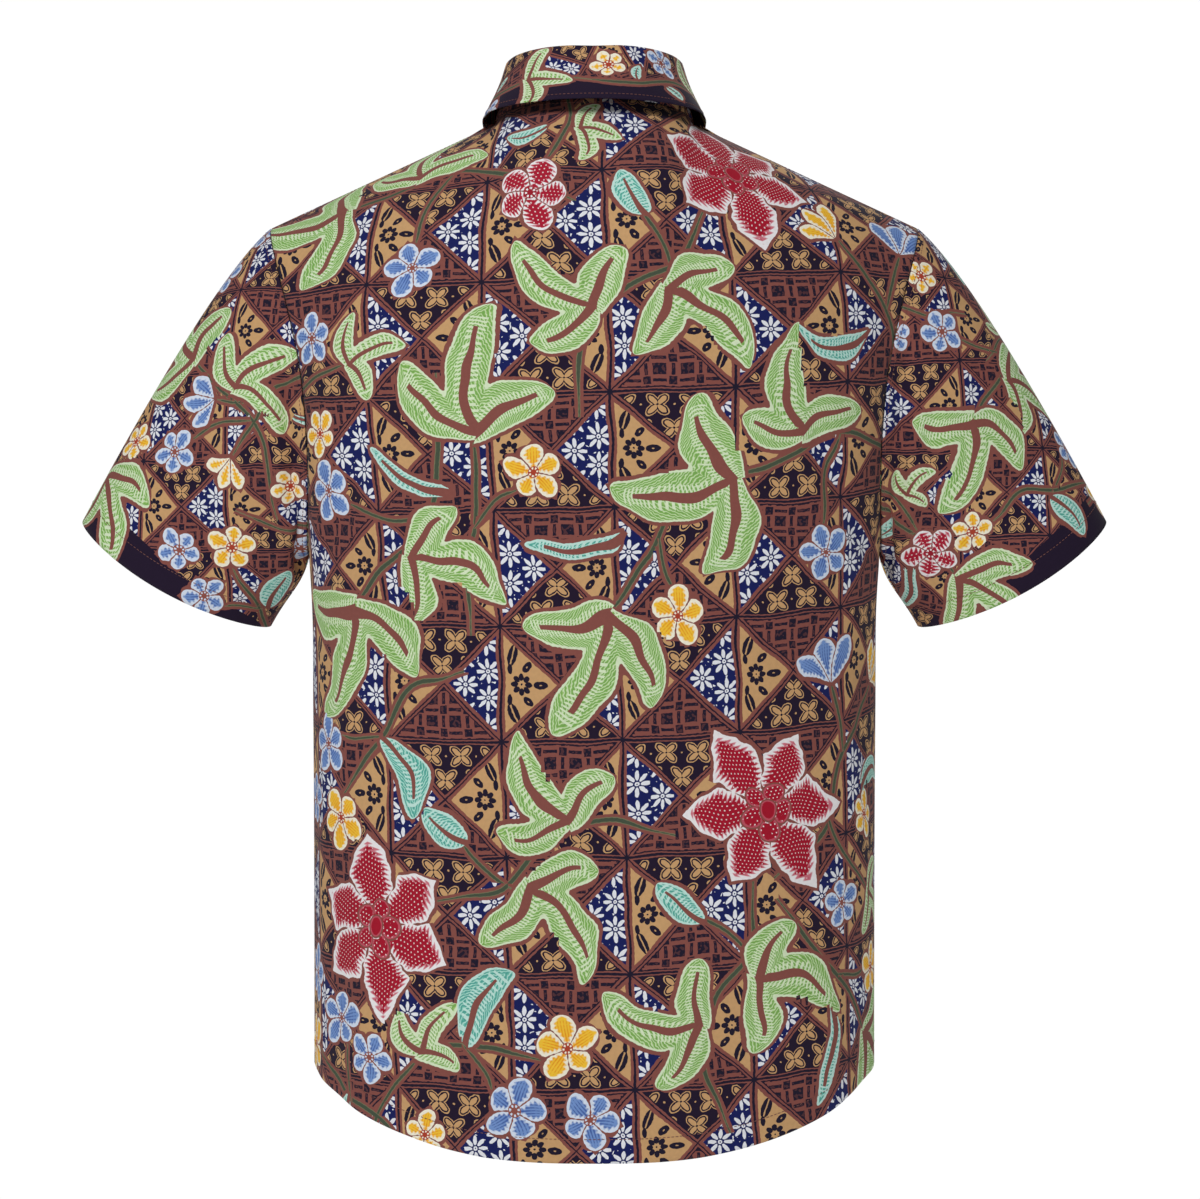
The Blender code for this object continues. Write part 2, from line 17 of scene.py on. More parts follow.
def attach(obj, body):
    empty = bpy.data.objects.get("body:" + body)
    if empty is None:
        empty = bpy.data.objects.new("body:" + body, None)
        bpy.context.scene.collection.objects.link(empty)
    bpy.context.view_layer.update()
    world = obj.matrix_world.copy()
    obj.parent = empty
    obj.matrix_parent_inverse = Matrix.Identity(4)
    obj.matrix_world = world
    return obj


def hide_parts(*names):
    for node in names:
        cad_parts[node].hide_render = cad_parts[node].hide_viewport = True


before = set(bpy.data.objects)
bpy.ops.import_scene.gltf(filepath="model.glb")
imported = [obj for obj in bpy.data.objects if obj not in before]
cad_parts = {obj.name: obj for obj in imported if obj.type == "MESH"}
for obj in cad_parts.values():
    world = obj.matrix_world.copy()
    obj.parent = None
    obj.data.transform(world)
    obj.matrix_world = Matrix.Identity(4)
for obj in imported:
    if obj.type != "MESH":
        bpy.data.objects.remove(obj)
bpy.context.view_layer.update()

# ---------------------------------------------------------------------------
# Back
# One wide panel of fine cotton with no yoke, waxed and dyed by hand: a patchwork
# of triangles in four fills, with flowers, leaves and stems drawn over it. It is
# sewn to both fronts at the shoulders and down the sides, and hemmed below.
# ---------------------------------------------------------------------------

CLOTH_THICKNESS = 0.0005


def dye(red, green, blue):
    """A colour from its display values out of 255."""
    shares = [value / 255 for value in (red, green, blue)]
    linear = [((s + 0.055) / 1.055) ** 2.4 if s > 0.04045 else s / 12.92 for s in shares]
    return (*linear, 1.0)


BROWN = dye(139, 80, 72)
AUBERGINE = dye(30, 14, 42)
NAVY = dye(15, 26, 92)
TAN = dye(208, 164, 114)
WHITE = dye(238, 240, 246)
INK = dye(26, 18, 42)
STEM = dye(72, 84, 66)
STEM_EDGE = dye(124, 122, 92)

# The drawn motifs. Petals is how many would fill a full turn, of which those
# within reach of the middle one are drawn. Breadth is half a petal's width,
# fullness rounds it, outward moves its widest place out, and curl bends it, all
# as shares of its length.
Kind = namedtuple("Kind", "petals reach breadth fullness outward curl")
KINDS = {
    "star": Kind(6, 3, 0.31, 1.00, 1.05, 0.12),
    "rosette": Kind(5, 3, 0.36, 0.60, 1.35, 0.12),
    "gold": Kind(5, 3, 0.37, 0.46, 1.45, 0.10),
    "blue": Kind(5, 3, 0.37, 0.48, 1.50, 0.10),
    "leaf": Kind(4.9, 1, 0.200, 0.50, 1.05, 0.50),
    "drooping_leaf": Kind(6.6, 1, 0.180, 0.50, 1.05, 0.36),
    "teal_leaf": Kind(1, 0, 0.26, 0.50, 0.90, 0.45),
    "crescent": Kind(1, 0, 0.17, 0.70, 0.80, 1.50),
    "ribbon": Kind(1, 0, 0.105, 0.45, 0.80, 0.35),
    "gold_bud": Kind(9, 1, 0.25, 0.50, 1.25, 0.10),
    "blue_bud": Kind(8, 1, 0.27, 0.50, 1.25, 0.10),
}

# Each kind's dyes: its margin, its body, the fine drawing on it and its heart.
KindDyes = namedtuple("KindDyes", "edge body ink heart")
GOLD_DYES = KindDyes(dye(255, 248, 226), dye(255, 204, 58), dye(244, 154, 26), dye(180, 66, 44))
BLUE_DYES = KindDyes(dye(222, 232, 248), dye(120, 154, 212), dye(64, 94, 168), dye(150, 84, 74))
GREEN_DYES = KindDyes(dye(224, 240, 204), dye(156, 202, 108), dye(108, 164, 78), BROWN)
TEAL_DYES = KindDyes(dye(200, 236, 226), dye(112, 200, 180), dye(62, 152, 144), BROWN)
DYES = {
    "star": KindDyes(dye(246, 242, 243), dye(172, 10, 42), dye(208, 92, 112), dye(196, 84, 100)),
    "rosette": KindDyes(dye(246, 242, 243), dye(176, 18, 48), dye(208, 96, 116), dye(160, 20, 40)),
    "gold": GOLD_DYES,
    "blue": BLUE_DYES,
    "leaf": GREEN_DYES,
    "drooping_leaf": GREEN_DYES,
    "teal_leaf": TEAL_DYES,
    "crescent": TEAL_DYES,
    "ribbon": TEAL_DYES,
    "gold_bud": GOLD_DYES,
    "blue_bud": BLUE_DYES,
}

# The even slots of the colour ramps that hold a value for each kind.
KIND_SLOTS = 16

batik = bpy.data.materials.new("batik_print")
batik.use_nodes = True
batik_nodes = batik.node_tree.nodes
batik_links = batik.node_tree.links
batik_shader = batik_nodes["Principled BSDF"]


def join(value, socket):
    """Sets a socket to a plain number or colour, or links it to a worked out one."""
    if isinstance(value, Drawn):
        batik_links.new(value.socket, socket)
    else:
        socket.default_value = value


def worked(operation, *values):
    """A number worked out from others at each place of the cloth."""
    node = batik_nodes.new("ShaderNodeMath")
    node.operation = operation
    for value, socket in zip(values, node.inputs):
        join(value, socket)
    return Drawn(node.outputs[0])


class Drawn:
    """A number or colour that differs from place to place on the cloth."""

    def __init__(self, socket):
        self.socket = socket

    def __add__(self, other):
        return worked("ADD", self, other)

    def __radd__(self, other):
        return worked("ADD", other, self)

    def __sub__(self, other):
        return worked("SUBTRACT", self, other)

    def __rsub__(self, other):
        return worked("SUBTRACT", other, self)

    def __mul__(self, other):
        return worked("MULTIPLY", self, other)

    def __rmul__(self, other):
        return worked("MULTIPLY", other, self)

    def __truediv__(self, other):
        return worked("DIVIDE", self, other)

    def __rtruediv__(self, other):
        return worked("DIVIDE", other, self)

    def __pow__(self, other):
        return worked("POWER", self, other)

    def __abs__(self):
        return worked("ABSOLUTE", self)

    def __lt__(self, other):
        return worked("LESS_THAN", self, other)

    def __gt__(self, other):
        return worked("GREATER_THAN", self, other)


def least(*values):
    """The least of several numbers."""
    lowest = values[0]
    for value in values[1:]:
        lowest = worked("MINIMUM", lowest, value)
    return lowest


def most(*values):
    """The greatest of several numbers."""
    highest = values[0]
    for value in values[1:]:
        highest = worked("MAXIMUM", highest, value)
    return highest


def between_0_and_1(value):
    return least(most(value, 0.0), 1.0)


def repeated(value):
    """How far a number is from the middle of its whole step, from -0.5 to 0.5."""
    return worked("FRACT", value) - 0.5


def length(x, y):
    return worked("SQRT", x * x + y * y)


def oval(x, y, half_x, half_y):
    """Below 1 inside an oval, and above it outside."""
    return length(x / half_x, y / half_y)


def block(x, y, half_x, half_y):
    """Above 0 inside a rectangle."""
    return least(half_x - abs(x), half_y - abs(y))


def mixed(share, low, high):
    """A colour between two others."""
    node = batik_nodes.new("ShaderNodeMix")
    node.data_type = "RGBA"
    for value, socket in zip((share, low, high), (node.inputs[0], node.inputs[6], node.inputs[7])):
        join(value, socket)
    return Drawn(node.outputs[2])


def chosen(share, low, high):
    """One of two numbers, by a share of 0 or 1."""
    return low + share * (high - low)


def split(socket):
    """The three numbers of a vector."""
    node = batik_nodes.new("ShaderNodeSeparateXYZ")
    batik_links.new(socket, node.inputs[0])
    return [Drawn(part) for part in node.outputs]


def cloth_value(name, output):
    """A value that the mesh carries at each place."""
    node = batik_nodes.new("ShaderNodeAttribute")
    node.attribute_name = name
    return node.outputs[output]


def joined(x, y):
    node = batik_nodes.new("ShaderNodeCombineXYZ")
    join(x, node.inputs[0])
    join(y, node.inputs[1])
    return node.outputs[0]


def noise(place, scale, detail=0.0):
    """Smooth random numbers from 0 to 1: one, and two more as a colour's parts."""
    node = batik_nodes.new("ShaderNodeTexNoise")
    node.noise_dimensions = "2D"
    batik_links.new(place, node.inputs["Vector"])
    node.inputs["Scale"].default_value = scale
    node.inputs["Detail"].default_value = detail
    return Drawn(node.outputs["Fac"]), node.outputs["Color"]


def by_kind(kind, read):
    """Looks up each kind's own colour, or up to three numbers from 0 to 1."""
    node = batik_nodes.new("ShaderNodeValToRGB")
    ramp = node.color_ramp
    ramp.interpolation = "CONSTANT"
    join((kind - 0.5) / KIND_SLOTS, node.inputs[0])
    for step, name in enumerate(KINDS):
        stop = ramp.elements[step] if step < 2 else ramp.elements.new(step / KIND_SLOTS)
        stop.position = step / KIND_SLOTS
        stop.color = read(name)
    return Drawn(node.outputs[0])


# The body's hem, armholes, neckline and shoulders. Heights are from the neck points.
HEM_AT_SIDE = -0.687
TAIL_LENGTH = 0.052
TAIL_ROUNDING = 1.42
UNDERARM = -0.320
MID_ARMHOLE = -0.200
ARMHOLE_HALF_DEPTH = 0.055
NECK_HALF_WIDTH = 0.072
NECK_CENTRE_Y = -0.012
NECK_BACK_REACH = 0.072
NECK_FRONT_REACH = 0.066
NECK_BACK_RISE = 0.0085
NECK_FRONT_DROP = 0.072
NECK_FRONT_ROUNDING = 1.25
NECK_POINT_HEIGHT = -0.0052
SHOULDER_TIP_X = 0.235
SHOULDER_SLOPE = 0.466
NECK_SHARE = 0.30
TIP_ROUNDING = 0.009
TIP_SHORTENING = 0.35
SLOPE_STEP = 0.01
COLUMN_HANDLE = 0.55
EDGE_HANDLE_LOSS = 0.17
EDGE_POWER = 6

# How many rows and columns of points shape a panel, before it is drawn finely.
NECK_COLUMNS = 5
SHOULDER_COLUMNS = 8
ROWS_BELOW_ARMHOLE = 11
ROWS_LOWER_ARMHOLE = 6
ROWS_SHOULDER = 7
MEASURED_ROW = ROWS_BELOW_ARMHOLE - 4
SECTION_STEPS = 160
LAYING_ROUNDS = 500
FINE_SPACING = 0.0032

# The body's level sections, from the tail to the shoulder, as squarish ovals.
Ring = namedtuple("Ring", "height half_width back_depth front_depth squareness")
TORSO = (
    Ring(-0.760, 0.2030, 0.128, 0.117, 2.35),
    Ring(-0.600, 0.2030, 0.123, 0.120, 2.35),
    Ring(-0.440, 0.2038, 0.117, 0.124, 2.35),
    Ring(-0.330, 0.2055, 0.119, 0.127, 2.40),
    Ring(-0.260, 0.2115, 0.123, 0.127, 2.50),
    Ring(-0.190, 0.2185, 0.124, 0.121, 2.60),
)

# How the cloth leaves its top edge, in degrees below level and in reach, at the
# centre and at the shoulder.
TopWay = namedtuple("TopWay", "centre_drop shoulder_drop centre_reach shoulder_reach")
BACK_TOP = TopWay(52, 0, 0.050, 0.080)
FRONT_TOP = TopWay(62, 12, 0.040, 0.062)

# Large soft folds, by place along the half girth from the centre line. Each fades
# out upwards over a share of its height, and all of them towards the side seam.
Fold = namedtuple("Fold", "place low high spread rise lean")
FOLD_FADE = 0.6
SIDE_FADE = 0.12
BACK_FOLDS_LEFT = (
    Fold(0.205, -0.80, -0.42, 0.020, -0.0035, 0.012),
    Fold(0.240, -0.52, -0.30, 0.018, -0.0030, 0.020),
    Fold(0.120, -0.82, -0.50, 0.028, -0.0024, -0.010),
)
BACK_FOLDS_RIGHT = (
    Fold(0.215, -0.80, -0.47, 0.021, -0.0038, 0.016),
    Fold(0.236, -0.48, -0.29, 0.018, -0.0026, 0.014),
    Fold(0.100, -0.81, -0.56, 0.030, -0.0020, 0.006),
)


def smooth_step(value):
    """Eases from 0 to 1 as value goes from 0 to 1."""
    t = np.clip(value, 0.0, 1.0)
    return t * t * (3.0 - 2.0 * t)


def between_rows(grid, places):
    """Reads a grid's rows at in-between places, on smooth curves through them."""
    slopes = np.gradient(grid, axis=0)
    row = np.clip(places.astype(int), 0, len(grid) - 2)
    t = (places - row).reshape(-1, *[1] * (grid.ndim - 1))
    s = 1 - t
    start = (1 + 2 * t) * s * s * grid[row] + t * s * s * slopes[row]
    end = t * t * (3 - 2 * t) * grid[row + 1] - t * t * s * slopes[row + 1]
    return start + end


def read_table(table, place_name, value_name, at):
    """A smooth curve through two columns of a table, read at any place."""
    places = np.array([getattr(row, place_name) for row in table], float)
    values = np.array([getattr(row, value_name) for row in table], float)
    slopes = np.gradient(values, places)
    row = np.clip(np.searchsorted(places, at) - 1, 0, len(places) - 2)
    span = places[row + 1] - places[row]
    t = (at - places[row]) / span
    s = 1 - t
    start = (1 + 2 * t) * s * s * values[row] + t * s * s * span * slopes[row]
    end = t * t * (3 - 2 * t) * values[row + 1] - t * t * s * span * slopes[row + 1]
    return start + end


def bezier(start, leaving, arriving, end, t):
    """A place on a cubic curve, or on many at once."""
    s = 1.0 - t
    return s**3 * start + 3 * s * s * t * leaving + 3 * s * t * t * arriving + t**3 * end


def unit(vectors):
    return vectors / np.linalg.norm(vectors, axis=-1, keepdims=True)


def surface_normals(grid):
    """Unit normals of a grid of points: its columns' way times its rows' way."""
    return unit(np.cross(np.gradient(grid[..., :3], axis=1), np.gradient(grid[..., :3], axis=0)))


def armhole_depth(height):
    """How far the armhole's lower edge is from the side line."""
    t = min(max((height - UNDERARM) / (MID_ARMHOLE - UNDERARM), 0.0), 1.0)
    return ARMHOLE_HALF_DEPTH * math.sqrt(1.0 - (1.0 - t) ** 2)


def section_point(height, share, facing):
    """A point of the body's level section, by its share of the length across."""
    half_width = read_table(TORSO, "height", "half_width", height)
    depth = read_table(TORSO, "height", "back_depth" if facing > 0 else "front_depth", height)
    power = read_table(TORSO, "height", "squareness", height)
    edge = math.asin((armhole_depth(height) / depth) ** (power / 2))
    turn = np.linspace(math.pi / 2, edge, SECTION_STEPS)
    x = half_width * np.cos(turn).clip(0) ** (2 / power)
    y = depth * np.sin(turn).clip(0) ** (2 / power)
    reach = np.concatenate([[0], np.hypot(np.diff(x), np.diff(y)).cumsum()])
    place = share * reach[-1]
    return (np.interp(place, reach, x), facing * np.interp(place, reach, y), height)


def body_section(heights, shares, facing):
    heights = np.broadcast_to(heights, np.shape(shares))
    return np.array([section_point(z, share, facing) for z, share in zip(heights, shares)])


def hem_height(shares):
    """The shirt tail: lowest at the centre, rising to the side seam."""
    return HEM_AT_SIDE - TAIL_LENGTH * (1 + np.cos(math.pi * shares**TAIL_ROUNDING)) / 2


def neck_point(turn):
    """A point of the neckline by its turn from the centre front, positive to +X."""
    along = math.cos(turn)
    x = NECK_HALF_WIDTH * math.sin(turn)
    if along < 0:
        y = NECK_CENTRE_Y - NECK_BACK_REACH * along
        z = NECK_POINT_HEIGHT - NECK_BACK_RISE * along
    else:
        y = NECK_CENTRE_Y - NECK_FRONT_REACH * along
        z = NECK_POINT_HEIGHT - NECK_FRONT_DROP * along**NECK_FRONT_ROUNDING
    return np.array([x, y, z])


def top_point(share, facing):
    """A point of the neckline or, past the neck point, of the shoulder seam."""
    around = min(share / NECK_SHARE, 1.0) * math.pi / 2
    point = neck_point(math.pi - around if facing > 0 else around)
    along = max(share - NECK_SHARE, 0.0) / (1 - NECK_SHARE)
    point[0] += (SHOULDER_TIP_X - NECK_HALF_WIDTH) * along
    point[2] -= SHOULDER_SLOPE * (SHOULDER_TIP_X - NECK_HALF_WIDTH) * along
    return point


def top_leaving(share, facing):
    """The way and the reach with which the cloth leaves its top edge."""
    way = BACK_TOP if facing > 0 else FRONT_TOP
    across = math.sin(min(share / NECK_SHARE, 1.0) * math.pi / 2)
    along = max(share - NECK_SHARE, 0.0) / (1 - NECK_SHARE)
    drop = math.radians(way.centre_drop + (way.shoulder_drop - way.centre_drop) * across)
    reach = way.centre_reach + (way.shoulder_reach - way.centre_reach) * across
    reach *= 1 - TIP_SHORTENING * along
    return np.array([0.0, facing * reach * math.cos(drop), -reach * math.sin(drop)])


def shoulder_columns(shares, facing):
    """The four control points of each column, from the mid armhole to the top."""
    low = body_section(MID_ARMHOLE, shares, facing)
    slope = (low - body_section(MID_ARMHOLE - SLOPE_STEP, shares, facing)) / SLOPE_STEP
    top = np.array([top_point(share, facing) for share in shares])
    arriving = top + np.array([top_leaving(share, facing) for share in shares])
    edge = shares[:, None] ** EDGE_POWER
    handle = COLUMN_HANDLE - EDGE_HANDLE_LOSS * edge
    leaving = low + slope * (top[:, 2:] - low[:, 2:]) * handle
    arriving = arriving - edge * np.array([0.0, 0.0, TIP_ROUNDING])
    return low, leaving, arriving, top


def mirror(grid):
    """The same grid on the -X side, its columns still running towards +X."""
    return (grid * np.array([-1.0, 1.0, 1.0]))[:, ::-1]


def relax_shoulder(grid):
    """Evens out the cloth between the mid armhole and the top edge."""
    first = ROWS_BELOW_ARMHOLE + ROWS_LOWER_ARMHOLE + 1
    for _ in range(3):
        wide = np.concatenate([mirror(grid[:, 1:2]), grid], axis=1)
        near = wide[1:-1, :-2] + wide[1:-1, 2:] + wide[:-2, 1:-1] + wide[2:, 1:-1]
        evened = wide[1:-1, 1:-1] / 2 + near / 8
        grid[first:-1, :-1] = evened[first - 1 :]
    return grid


def fold_offset(folds, place, height):
    """How far all the folds together move the cloth at a place."""
    total = np.zeros(np.shape(place))
    for fold in folds:
        along = (height - fold.low) / (fold.high - fold.low)
        centre = fold.place - fold.lean * np.clip(along, 0, 1)
        across = (place - centre) / fold.spread
        total = total + fold.rise * smooth_step((1 - along) / FOLD_FADE) * np.exp(-across * across)
    return total


def body_half(facing, folds):
    """The grid of points of half a back or of one front, from hem to top edge."""
    neck = np.linspace(0, NECK_SHARE, NECK_COLUMNS + 1)
    shares = np.concatenate([neck, np.linspace(NECK_SHARE, 1, SHOULDER_COLUMNS + 1)[1:]])
    rows = []
    for step in range(ROWS_BELOW_ARMHOLE):
        t = step / ROWS_BELOW_ARMHOLE
        rows.append(body_section(hem_height(shares) * (1 - t) + UNDERARM * t, shares, facing))
    for step in range(ROWS_LOWER_ARMHOLE):
        t = 1 - math.cos(math.pi / 2 * step / ROWS_LOWER_ARMHOLE)
        rows.append(body_section(UNDERARM + (MID_ARMHOLE - UNDERARM) * t, shares, facing))
    controls = shoulder_columns(shares, facing)
    for step in range(ROWS_SHOULDER + 1):
        rows.append(bezier(*controls, step / ROWS_SHOULDER))
    grid = relax_shoulder(np.array(rows))
    place = np.zeros(grid.shape[:2])
    place[:, 1:] = np.linalg.norm(np.diff(grid[:, :, :2], axis=1), axis=2).cumsum(axis=1)
    offset = fold_offset(folds, place, grid[:, :, 2]) * smooth_step((1 - shares) / SIDE_FADE)
    return grid - facing * surface_normals(grid) * offset[:, :, None]


def unrolled(grid, centre, up):
    """A first guess at a panel's cut, by the distances along its rows and columns."""
    steps = np.linalg.norm(np.diff(grid, axis=1), axis=2)
    x = np.concatenate([np.zeros((len(grid), 1)), steps.cumsum(axis=1)], axis=1)
    rises = np.linalg.norm(np.diff(grid, axis=0), axis=2)
    y = np.concatenate([np.zeros((1, grid.shape[1])), rises.cumsum(axis=0)], axis=0) * up
    y += grid[:1, :, 2] - grid[0, centre, 2] if up > 0 else 0.0
    return np.stack([x - x[:, centre : centre + 1], y], axis=2)


def lay_flat(grid, centre, flat):
    """Adds the panel's cut, from a first guess: its points laid flat, as far from
    each other as on the body. The centre column stays upright."""
    whole, but_last, but_first = slice(None), slice(None, -1), slice(1, None)
    links = (
        ((whole, but_last), (whole, but_first)),
        ((but_last, whole), (but_first, whole)),
        ((but_last, but_last), (but_first, but_first)),
        ((but_last, but_first), (but_first, but_last)),
    )
    for _ in range(LAYING_ROUNDS):
        move = np.zeros(flat.shape)
        for here, there in links:
            apart = flat[there] - flat[here]
            now = np.linalg.norm(apart, axis=2, keepdims=True)
            real = np.linalg.norm(grid[there] - grid[here], axis=2, keepdims=True)
            push = apart * (now - real) / now / 2
            move[here] += push
            move[there] -= push
        flat = flat + move / 3
        flat[:, centre, 0] = 0.0
    return np.concatenate([grid, flat], axis=2)


def level_cut(grid, centre):
    """A body panel laid flat, its centre line upright and its underarm at its height."""
    cut = lay_flat(grid, centre, unrolled(grid, centre, 1))
    cut[..., 4] += UNDERARM - cut[ROWS_BELOW_ARMHOLE, centre, 4]
    return cut


def even_places(line, spacing):
    """Places along a line of points that are about a spacing apart."""
    steps = np.linalg.norm(np.diff(line[:, :3], axis=0), axis=1)
    reach = np.concatenate([[0], steps.cumsum()])
    count = round(reach[-1] / spacing) + 1
    return np.interp(np.linspace(0, reach[-1], count), reach, np.arange(len(line)))


def finer(grid, row_line, column_line, spacing=FINE_SPACING):
    """A grid drawn finely, with even steps along one of its rows and columns."""
    rows = even_places(grid[:, column_line], spacing)
    columns = even_places(grid[row_line], spacing)
    fine = between_rows(grid, rows)
    return between_rows(fine.transpose(1, 0, 2), columns).transpose(1, 0, 2)


# Creases and wrinkles, by their middle on the cut cloth, the way they run, and
# their length, half width and depth. A negative depth stands out as a ridge.
Crease = namedtuple("Crease", "x y turn length width depth")
CREASE_BOW = 0.6
HELD_EDGE = 0.014
BACK_CREASES = (
    Crease(-0.172, -0.262, 58, 0.130, 0.0085, 0.0030),
    Crease(-0.198, -0.300, 41, 0.105, 0.0070, 0.0026),
    Crease(-0.150, -0.318, 64, 0.085, 0.0075, -0.0016),
    Crease(0.168, -0.258, 124, 0.122, 0.0080, 0.0028),
    Crease(0.201, -0.304, 137, 0.112, 0.0072, 0.0027),
    Crease(0.149, -0.330, 118, 0.078, 0.0070, -0.0014),
    Crease(-0.206, -0.418, 82, 0.150, 0.0105, 0.0018),
    Crease(0.214, -0.446, 96, 0.170, 0.0110, 0.0019),
    Crease(-0.060, -0.640, 92, 0.180, 0.0170, 0.0011),
    Crease(0.082, -0.655, 87, 0.140, 0.0150, 0.0010),
    Crease(0.012, -0.052, 4, 0.110, 0.0080, 0.0008),
    Crease(-0.118, -0.090, 24, 0.120, 0.0100, 0.0010),
    Crease(0.126, -0.094, 157, 0.110, 0.0095, 0.0009),
)


def crease_depth(creases, x, y):
    """How far in the creases press the cloth at each place."""
    total = np.zeros(x.shape)
    for crease in creases:
        turn = math.radians(crease.turn)
        down = (x - crease.x) * math.cos(turn) + (y - crease.y) * math.sin(turn)
        aside = (y - crease.y) * math.cos(turn) - (x - crease.x) * math.sin(turn)
        aside = aside + CREASE_BOW * down * down / crease.length
        taper = smooth_step(1 - np.abs(down) / (crease.length / 2))
        total = total + crease.depth * taper * np.exp(-((aside / crease.width) ** 2))
    return total


def edge_reach(sheet):
    """How far each point is from the sheet's nearest edge."""
    up = np.linalg.norm(np.diff(sheet[..., :3], axis=0), axis=2).cumsum(axis=0)
    over = np.linalg.norm(np.diff(sheet[..., :3], axis=1), axis=2).cumsum(axis=1)
    up = np.concatenate([np.zeros((1, sheet.shape[1])), up])
    over = np.concatenate([np.zeros((len(sheet), 1)), over], axis=1)
    return np.minimum(np.minimum(up, up[-1:] - up), np.minimum(over, over[:, -1:] - over))


def creased(sheet, creases, held_edge=HELD_EDGE):
    """Presses creases into a sheet, and adds each point's outward way to it."""
    depth = crease_depth(creases, sheet[..., 3], sheet[..., 4])
    depth = depth * smooth_step(edge_reach(sheet) / held_edge)
    pressed = sheet[..., :3] - surface_normals(sheet) * depth[..., None]
    return np.concatenate([pressed, sheet[..., 3:5], surface_normals(pressed)], axis=2)


# The edges of a sheet, as an axis and the way in from the edge.
EDGES = {"bottom": (0, 1), "top": (0, -1), "first": (1, 1), "last": (1, -1)}
TURN_DEPTH = 0.0013
TURN_BULGE = 0.12
SEAM_MARGIN = 0.008
TOP_MARGIN = 0.007
HEM = 0.019


def turn_under(sheet, edge, width, depth):
    """Folds a margin of the cloth under along one edge, as for a hem or a seam."""
    axis, way = EDGES[edge]
    strip = np.swapaxes(sheet, 0, axis)[::way]
    steps = np.linalg.norm(np.diff(strip[..., :3], axis=0), axis=2).mean(axis=1).cumsum()
    count = max(int(np.searchsorted(steps, width)), 1)
    under = strip[1 : count + 1].copy()
    under[..., :3] -= under[..., 5:8] * depth
    under[..., 3:5] = 2 * strip[:1, :, 3:5] - under[..., 3:5]
    fold = strip[:1].copy()
    fold[..., :3] += unit(strip[:1, :, :3] - strip[1:2, :, :3]) * depth * TURN_BULGE
    fold[..., :3] -= fold[..., 5:8] * depth / 2
    folded = np.concatenate([under[::-1], fold, strip])
    return np.swapaxes(folded[::way], 0, axis)


def hemmed(sheet, margins, depth=TURN_DEPTH):
    """Folds several edges under, one after the other."""
    for edge, width in margins:
        sheet = turn_under(sheet, edge, width, depth)
    return sheet


# What is drawn over the patchwork: motifs by their place on the cut cloth, the
# way they point and their size, and stems by their width and the points they
# run through.
Motif = namedtuple("Motif", "kind x y turn size")
Stem = namedtuple("Stem", "width points")
STEM_STEPS = 60
STEM_TIP = 0.45
STEM_TAPER = 6

# Kinds are counted from 1, in their order above.
KIND_NAMES = list(KINDS)
FIRST_LEAFY = 5
LAST_LEAFY = 9
LEAFY = [KINDS[name] for name in KIND_NAMES[FIRST_LEAFY - 1 : LAST_LEAFY]]
MOTIF_REACH = 1.4
LEAF_BASE = -0.16
LOBE_CROOK = 0.06

# Petals of one motif differ in length by this share, as its size happens to fall,
# and a leaf's side lobes are shorter than its middle one.
LOPSIDED = 0.09
LOPSIDED_TURN = 300.0
SIDE_LOBE_SHORTER = 0.22

# How far outside a motif's outline or a stem the cloth still knows it.
PRINT_MARGIN = 0.012

# How the patchwork lies on the cut cloth: where it starts, its squares' width and
# height, and its turn. Its rows lean and sag a little, as wax lines drawn by eye do.
Patchwork = namedtuple("Patchwork", "x y width height turn")
BODY_PATCHES = Patchwork(-0.080, -0.129, 0.084, 0.080, 2)
ROW_SAG = 0.25


def patch_places(cut, patches):
    """Where each corner is in the patchwork, counted in its squares."""
    turn = math.radians(patches.turn)
    x = cut[..., 0] * math.cos(turn) + cut[..., 1] * math.sin(turn)
    y = cut[..., 1] * math.cos(turn) - cut[..., 0] * math.sin(turn)
    y = y - ROW_SAG * x * x
    return np.stack([(x - patches.x) / patches.width, (y - patches.y) / patches.height], axis=-1)


def outline_depth(kind, x, y, size):
    """How far inside a motif's outline each place is, in its own frame."""
    is_leafy = kind in LEAFY
    petal_turn = math.tau / kind.petals
    base = LEAF_BASE if is_leafy else 0.0
    turns = np.arctan2(y, x) / petal_turn
    deepest = np.full(np.shape(x), -9.0)
    for number in range(-kind.reach, kind.reach + 1):
        off = (turns - number) * petal_turn
        lopsided = math.sin(number * petal_turn * 2 + size * LOPSIDED_TURN)
        uneven = 1 + LOPSIDED * lopsided - is_leafy * abs(number) * SIDE_LOBE_SHORTER
        down = np.hypot(x, y) * np.cos(off) / uneven
        bend = (down * down - down) * kind.curl * 2 * (1 + lopsided * 0.5)
        aside = np.hypot(x, y) * np.sin(off) + bend
        share = np.clip((down - base) / (1 - base), 0, 1)
        half = kind.breadth * np.abs(np.sin(math.pi * share ** (kind.outward * 2))) ** kind.fullness
        past = np.maximum(np.maximum(down - 1, base - down), 0)
        deepest = np.maximum(deepest, half - np.abs(aside) - past)
    return deepest * size


